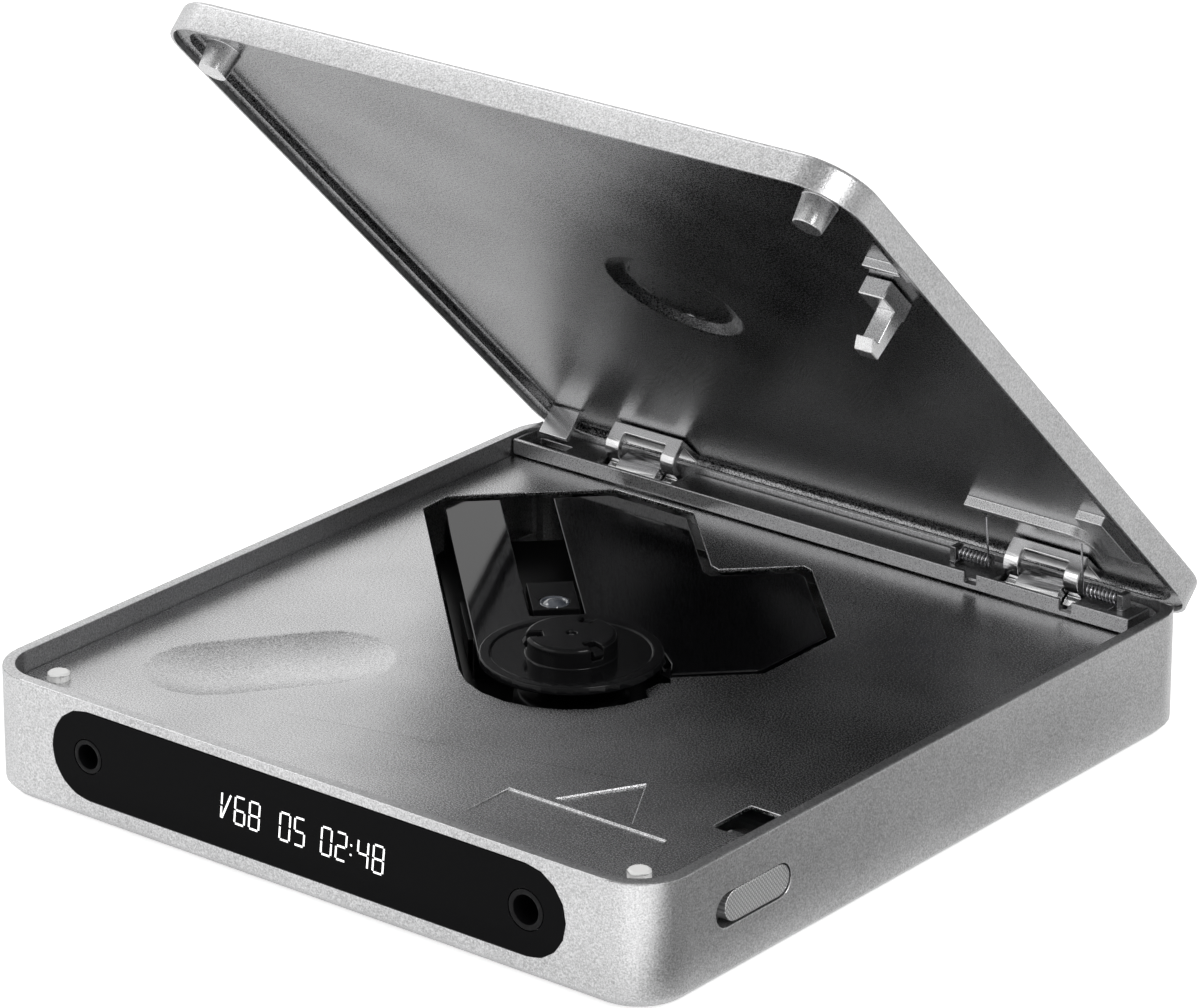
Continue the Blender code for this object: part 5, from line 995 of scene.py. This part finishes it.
@dataclass
class Hinge:
    """The bar, barrels, pins, brackets and springs of the lid's hinge."""

    edge: float = 0.00014
    bar_edge: float = 0.0002
    bracket_edge: float = 0.00022
    spring_y: float = 66.0
    spring_z: float = 20.52
    spring_radius: float = 1.05
    wire_radius: float = 0.17
    spring_length: float = 6.2
    curls: int = 8
    steps: int = 28
    leg: float = 8.8
    leg_angle: float = 96.0
    foot: float = 3.0
    spring_foot_z: float = 19.3
    shut_share: float = 0.33
    spring_left_x: float = 31.9
    spring_right_x: float = 51.0

    def build(self) -> None:
        """Build the hinge."""
        # The bar takes the darker copy of the aluminium as painted shade.
        dress_node("hinge_bar", BAR_METAL_PAINTED_SHADE, Body.BASE, self.bar_edge)
        for side in ("left", "right"):
            dress_node(f"hinge_barrel_{side}", BRIGHT, Body.BASE, self.edge)
            dress_node(f"hinge_pin_{side}", DRAWN, Body.BASE, self.edge)
            dress_node(f"hinge_bracket_{side}", BRIGHT, Body.LID, self.bracket_edge, 3)
        dress_node("lid_stop", BRIGHT, Body.LID, self.edge)
        for side, inner, way in (("left", self.spring_left_x, -1), ("right", self.spring_right_x, 1)):
            wire = coil(
                f"lid_spring_{side}_wire", self.spring_points(inner, way), self.wire_radius * MM, WIRE,
                Body.BASE, f"lid_spring_{side}",
            )
            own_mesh(wire)

    def spring_points(self, inner: float, way: int) -> list[Vector]:
        """Return the points of a lid spring's wire.

        Args:
            inner: Where the lid's leg leaves the coil.
            way: The way that the coil runs from there.

        Returns:
            Points along the wire.
        """
        leg = radians(self.leg_angle)
        first = -pi / 2
        sweep = 2 * pi * (self.curls + 1) - pi - leg
        count = self.curls * self.steps
        outer = inner + way * self.spring_length
        points = [place(outer, self.spring_y - self.foot, self.spring_z - self.spring_radius)]
        for index in range(count + 1):
            share = index / count
            turn = first - sweep * share
            points.append(place(
                outer - way * self.spring_length * share,
                self.spring_y + self.spring_radius * cos(turn),
                self.spring_z + self.spring_radius * sin(turn),
            ))
        points.append(points[-1] + Vector((0, cos(leg), sin(leg))) * self.leg * MM)
        return points


@dataclass
class Lid:
    """The lid's shell, lining and hook."""

    shell_edge: float = 0.0001
    liner_edge: float = 0.00016
    hook_edge: float = 0.0002
    dimple_radii: tuple[float, float] = (12.4, 10.6)
    dimple_floor: float = 9.9
    dimple_softness: float = 0.35
    dimple_steps: int = 4
    dimple_rise: float = 0.5
    slack: float = 0.06
    ceiling: float = 23.5
    features: tuple[tuple[float, float, float, float], ...] = (
        (-63.6, -65.0, -57.2, -58.6), (55.3, -65.0, 61.7, -58.6), (31.0, 48.0, 56.5, 57.5),
        (57.0, 40.0, 63.0, 58.5), (58.0, -45.0, 65.1, -43.5),
    )

    def build(self) -> None:
        """Build the lid."""
        dress_node("lid_shell", BLASTED, Body.LID, self.shell_edge)
        body = merged_copy("lid_liner")
        self.soften_dimple(body)
        proud = [index for index, face in enumerate(body.faces) if self.is_feature(face)]
        # The lining takes the darker copy of the aluminium as painted shade.
        liner = dress_node("lid_liner", LID_INSIDE_PAINTED_SHADE, Body.LID, self.liner_edge, body=body)
        # Posts, ribs and blocks that stand out of the lining, and the hook, take the lighter copy as painted
        # light.
        liner.data.materials.append(BLAST_PAINTED_LIGHT.material())
        for index in proud:
            liner.data.polygons[index].material_index = 1
        dress_node("latch_hook", BLAST_PAINTED_LIGHT, Body.LID, self.hook_edge)

    def soften_dimple(self, body: bmesh.types.BMesh) -> None:
        """Round the rim and the foot of the lining's dimple.

        Args:
            body: The lining's mesh.
        """
        centre_y = Mechanism.spindle_y
        rim_radius, foot_radius = self.dimple_radii
        for vert in body.verts:
            spot = lid_closed(vert.co)
            away = Vector((spot.x, spot.y - centre_y))
            if abs(away.length - foot_radius) < self.slack and spot.z > self.ceiling + self.dimple_rise:
                away *= self.dimple_floor / away.length
                vert.co = lid_opened(Vector((away.x, away.y + centre_y, spot.z)))
        rings = []
        for edge in body.edges:
            ends = [lid_closed(vert.co) for vert in edge.verts]
            reach = [Vector((end.x, end.y - centre_y)).length for end in ends]
            level = abs(ends[1].z - ends[0].z) < self.slack
            for radius in (rim_radius, self.dimple_floor):
                if level and all(abs(value - radius) < self.slack for value in reach):
                    rings.append(edge)
        chamfer_loop(body, rings, self.dimple_softness * MM, self.dimple_steps)

    def is_feature(self, face: bmesh.types.BMFace) -> bool:
        """Return whether a face belongs to a post, rib or block that stands out of the lining."""
        spots = [lid_closed(vert.co) for vert in face.verts]
        if sum(spot.z for spot in spots) / len(spots) > self.ceiling - self.slack:
            return False
        return any(
            all(low_x <= spot.x <= high_x and low_y <= spot.y <= high_y for spot in spots)
            for low_x, low_y, high_x, high_y in self.features
        )


@dataclass
class Latch:
    """The knurled slider, its bolt and its return spring."""

    edge: float = 0.0002
    bolt_edge: float = 0.00012
    spring_radius: float = 1.5
    pressed_share: float = 0.64
    wire_radius: float = 0.2
    curls: int = 6
    steps: int = 28

    def build(self) -> None:
        """Build the latch."""
        dress_node("latch_slider", KNURLED, Body.LATCH, self.edge)
        dress_node("latch_bolt", BRIGHT, Body.LATCH, self.bolt_edge)
        low, high = (Vector(corner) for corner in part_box("latch_spring"))
        middle = (low + high) / 2
        start = low.y + self.wire_radius * MM
        end = high.y - self.wire_radius * MM
        count = self.curls * self.steps
        radius = self.spring_radius * MM
        points = []
        for index in range(count + 1):
            turn = 2 * pi * index / self.steps
            along = start + (end - start) * index / count
            points.append(Vector((middle.x + radius * cos(turn), along, middle.z + radius * sin(turn))))
        wire = coil("latch_spring_wire", points, self.wire_radius * MM, WIRE, Body.BASE, "latch_spring")
        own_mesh(wire)


@dataclass
class Controls:
    """The five buttons along the left side."""

    edge: float = 0.0002
    names: tuple[str, ...] = (
        "volume_down_button", "volume_up_button", "previous_button", "play_button", "next_button",
    )

    def build(self) -> None:
        """Build the buttons."""
        for name in self.names:
            dress_node(name, BLASTED, name, self.edge)


@dataclass
class Mechanism:
    """The disc drive: cover, turntable, claws, sled, lens, rods and motors."""

    spindle_y: ClassVar[float] = -5.8
    edge: float = 0.0001
    hub_edge: float = 0.00025
    cover_edge: float = 0.00028
    cover_insets: tuple[tuple[tuple[float, float], tuple[float, float], float], ...] = (
        ((-60.84, 31.13), (-1.0, -1.0), 2.4), ((24.99, 11.12), (1.0, 0.0), 0.7),
        ((14.65, 0.79), (1.0, -1.0), 1.5),
    )
    lens_profile: tuple[tuple[float, float], ...] = (
        (0.0, 17.55), (0.5, 17.54), (0.95, 17.48), (1.35, 17.36), (1.65, 17.2), (1.78, 17.08), (1.92, 17.02),
        (2.06, 17.1), (2.18, 17.24), (2.42, 17.24), (2.52, 17.1), (2.52, 16.85), (0.0, 16.85),
    )
    lens_steps: int = 48

    def build(self) -> None:
        """Build the drive."""
        body = merged_copy("mech_cover")
        for spot, outward, inset in self.cover_insets:
            way = Vector((*outward, 0)).normalized()
            trim(body, place(*spot, 0) - way * inset * MM, way)
        dress_node("mech_cover", PIANO, Body.BASE, self.cover_edge, 3, body=body)
        dress_node("mech_chassis", MOULDED, Body.BASE, self.edge)
        dress_node("turntable", TURNED, Body.SPINDLE, self.hub_edge, 3)
        dress_node("spindle_shaft", DRAWN, Body.SPINDLE)
        for number in (1, 2, 3):
            dress_node(f"disc_claw_{number}", MOULDED, f"claw_{number}", self.edge)
            paint_node(f"chassis_damper_{number}", BLACK_RUBBER)
        dress_node("pickup_sled", MOULDED, Body.SLED, self.edge)
        dress_node("lens_holder", MOULDED, Body.LENS, self.edge)
        low, high = (Vector(corner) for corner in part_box("pickup_lens"))
        foot = Vector(((low.x + high.x) / 2, (low.y + high.y) / 2, SHIFT.z))
        dome = lathe(self.lens_profile, foot, self.lens_steps)
        lens = add_piece("pickup_lens_dome", dome, COATED, Body.LENS)
        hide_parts("pickup_lens")
        dress_node("lead_screw", BRASS, Body.LEAD_SCREW)
        for name in ("guide_rod_near", "guide_rod_far", "sled_motor"):
            dress_node(name, DRAWN, Body.BASE)
        dress_node("spindle_motor", BLACKENED, Body.BASE)


@dataclass
class Electronics:
    """The board and the battery inside."""

    def build(self) -> None:
        """Dress the board and the battery."""
        paint_node("main_board", BOARD)
        paint_node("battery_pack", FOIL)


@dataclass
class Studio:
    """Camera, lamps, world and floor."""

    lens: float = 192.06
    azimuth: float = 38.80
    elevation: float = 21.83
    distance: float = 1143.56
    target: tuple[float, float, float] = (-67.17, 85.09, 0.0)
    sensor: float = 36.0
    clip: tuple[float, float] = (0.05, 50.0)
    sky_across: Range = ((-0.7, 0.7), (1.0, 0.4))
    sky_upward: Range = ((0.46, 0.75), (1.0, 0.55))
    floor_half: float = 6.0
    floor_roughness: float = 0.9
    # The floor glows white to the camera. Its tone and glow seen by the metal are painted light and painted
    # shade: the brighter left and front zones give painted reflections, the front-right corner zone gives a
    # painted highlight on the frame's corner, and the darker right side is a painted shadow of the object.
    floor_lift: float = 0.64
    painted_reflection_share: float = 0.55
    painted_light_left: Range = ((0.066, 0.082), (1.0, 0.0))
    painted_light_front: Range = ((-0.09, -0.075), (1.2, 0.0))
    painted_highlight_corner: Range = ((0.062, 0.072), (1.0, 1.7))
    painted_shade_right: Range = ((-0.07, 0.17), (0.25, 1.0))
    painted_light_tone: float = 0.8
    camera_tone: float = 0.86
    lamps: tuple[tuple[str, tuple[float, float, float], float, float], ...] = (
        ("key_lamp", (-1.45, 0.0, 1.75), 1.0, 7.0),
        ("fill_lamp", (-0.7, -1.8, 1.0), 1.2, 4.0),
        ("corner_lamp", (1.3, -0.4, 1.15), 0.7, 10.0),
    )

    def build(self) -> None:
        """Build the studio."""
        self.build_camera()
        self.build_world()
        self.build_floor()
        for lamp in self.lamps:
            self.add_lamp(*lamp)
        bpy.context.scene.view_settings.view_transform = "Standard"

    def build_camera(self) -> None:
        """Stand the camera where the photograph was taken."""
        turn, rise = radians(self.azimuth), radians(self.elevation)
        back = Vector((sin(turn) * cos(rise), -cos(turn) * cos(rise), sin(rise)))
        data = bpy.data.cameras.new("photo_camera")
        data.lens = self.lens
        data.sensor_width = self.sensor
        data.clip_start, data.clip_end = self.clip
        camera = show("photo_camera", data)
        aim(camera, place(*self.target) + back * self.distance * MM, back)
        bpy.context.scene.camera = camera

    def build_world(self) -> None:
        """Light the set with a soft pale surround."""
        world = bpy.data.worlds.new("studio_world")
        world.use_nodes = True
        bpy.context.scene.world = world
        graph = Graph(world.node_tree)
        spot = graph.add("ShaderNodeTexCoord")
        split = graph.add("ShaderNodeSeparateXYZ", None, {0: spot.outputs["Generated"]})
        side = graph.ramp(split.outputs["X"], *self.sky_across)
        height = graph.ramp(split.outputs["Z"], *self.sky_upward, smooth=True)
        path = graph.add("ShaderNodeLightPath")
        clear = graph.math("MAXIMUM", path.outputs["Is Camera Ray"], path.outputs["Is Transmission Ray"])
        level = graph.mix(clear, graph.math("MULTIPLY", side, height), 1.0)
        graph.fill(world.node_tree.nodes["Background"], {"Color": level})

    def build_floor(self) -> None:
        """Lay a floor that the camera sees evenly white; it keeps the object's shadow, and its tone and glow
        seen by the metal carry painted light and painted shade.
        """
        body = bmesh.new()
        bmesh.ops.create_grid(body, x_segments=1, y_segments=1, size=self.floor_half)
        mesh = bpy.data.meshes.new("studio_floor")
        body.to_mesh(mesh)
        body.free()
        floor = show("studio_floor", mesh)
        graph = Surface("studio_paper")
        split = graph.add("ShaderNodeSeparateXYZ", None, {0: graph.spot})
        across, along = split.outputs["X"], split.outputs["Y"]
        left = graph.ramp(across, *self.painted_light_left, smooth=True)
        front = graph.ramp(along, *self.painted_light_front, smooth=True)
        corner = graph.ramp(across, *self.painted_highlight_corner, smooth=True)
        # Zones of painted light that the metal mirrors: the left side and the front-right corner.
        pale = graph.math("MAXIMUM", left, graph.math("MULTIPLY", front, corner))
        # Painted shadow: the floor's tone seen by other rays than the camera's is darker on the right,
        # darkest towards the front, and lighter in the zones of painted light.
        tone = graph.mix(pale, graph.ramp(along, *self.painted_shade_right), self.painted_light_tone)
        path = graph.add("ShaderNodeLightPath")
        camera = path.outputs["Is Camera Ray"]
        clear = graph.math("MAXIMUM", camera, path.outputs["Is Transmission Ray"])
        # Glossy rays see an extra glow in the zones of painted light: painted reflections.
        gloss = graph.math("MULTIPLY", path.outputs["Is Glossy Ray"], self.painted_reflection_share)
        seen = graph.math("MAXIMUM", clear, graph.math("MULTIPLY", gloss, pale))
        graph.fill(graph.shader, {
            "Roughness": self.floor_roughness,
            "Base Color": graph.mix(camera, tone, self.camera_tone),
            "Emission Color": (1.0, 1.0, 1.0, 1.0),
            "Emission Strength": graph.math("MULTIPLY", seen, self.floor_lift),
        })
        floor.data.materials.append(graph.material)

    def add_lamp(self, name: str, spot: tuple[float, float, float], size: float, power: float) -> None:
        """Hang a soft square lamp that faces the object.

        Args:
            name: Name of the lamp.
            spot: Its place in metres.
            size: Its width in metres.
            power: Its power in watts.
        """
        data = bpy.data.lights.new(name, "AREA")
        data.shape = "SQUARE"
        data.size = size
        data.energy = power
        aim(show(name, data), Vector(spot), Vector(spot))


def main() -> None:
    """Build every sub-assembly and the studio."""
    logging.basicConfig(level=logging.INFO, format="%(name)s: %(message)s")
    for assembly in (Studio(), Housing(), Deck(), FrontPanel(), Hinge(), Lid(), Latch(), Controls(),
                     Mechanism(), Electronics()):
        assembly.build()
        LOG.info("%s built", type(assembly).__name__)
    bpy.context.view_layer.update()


if __name__ == "__main__":
    main()
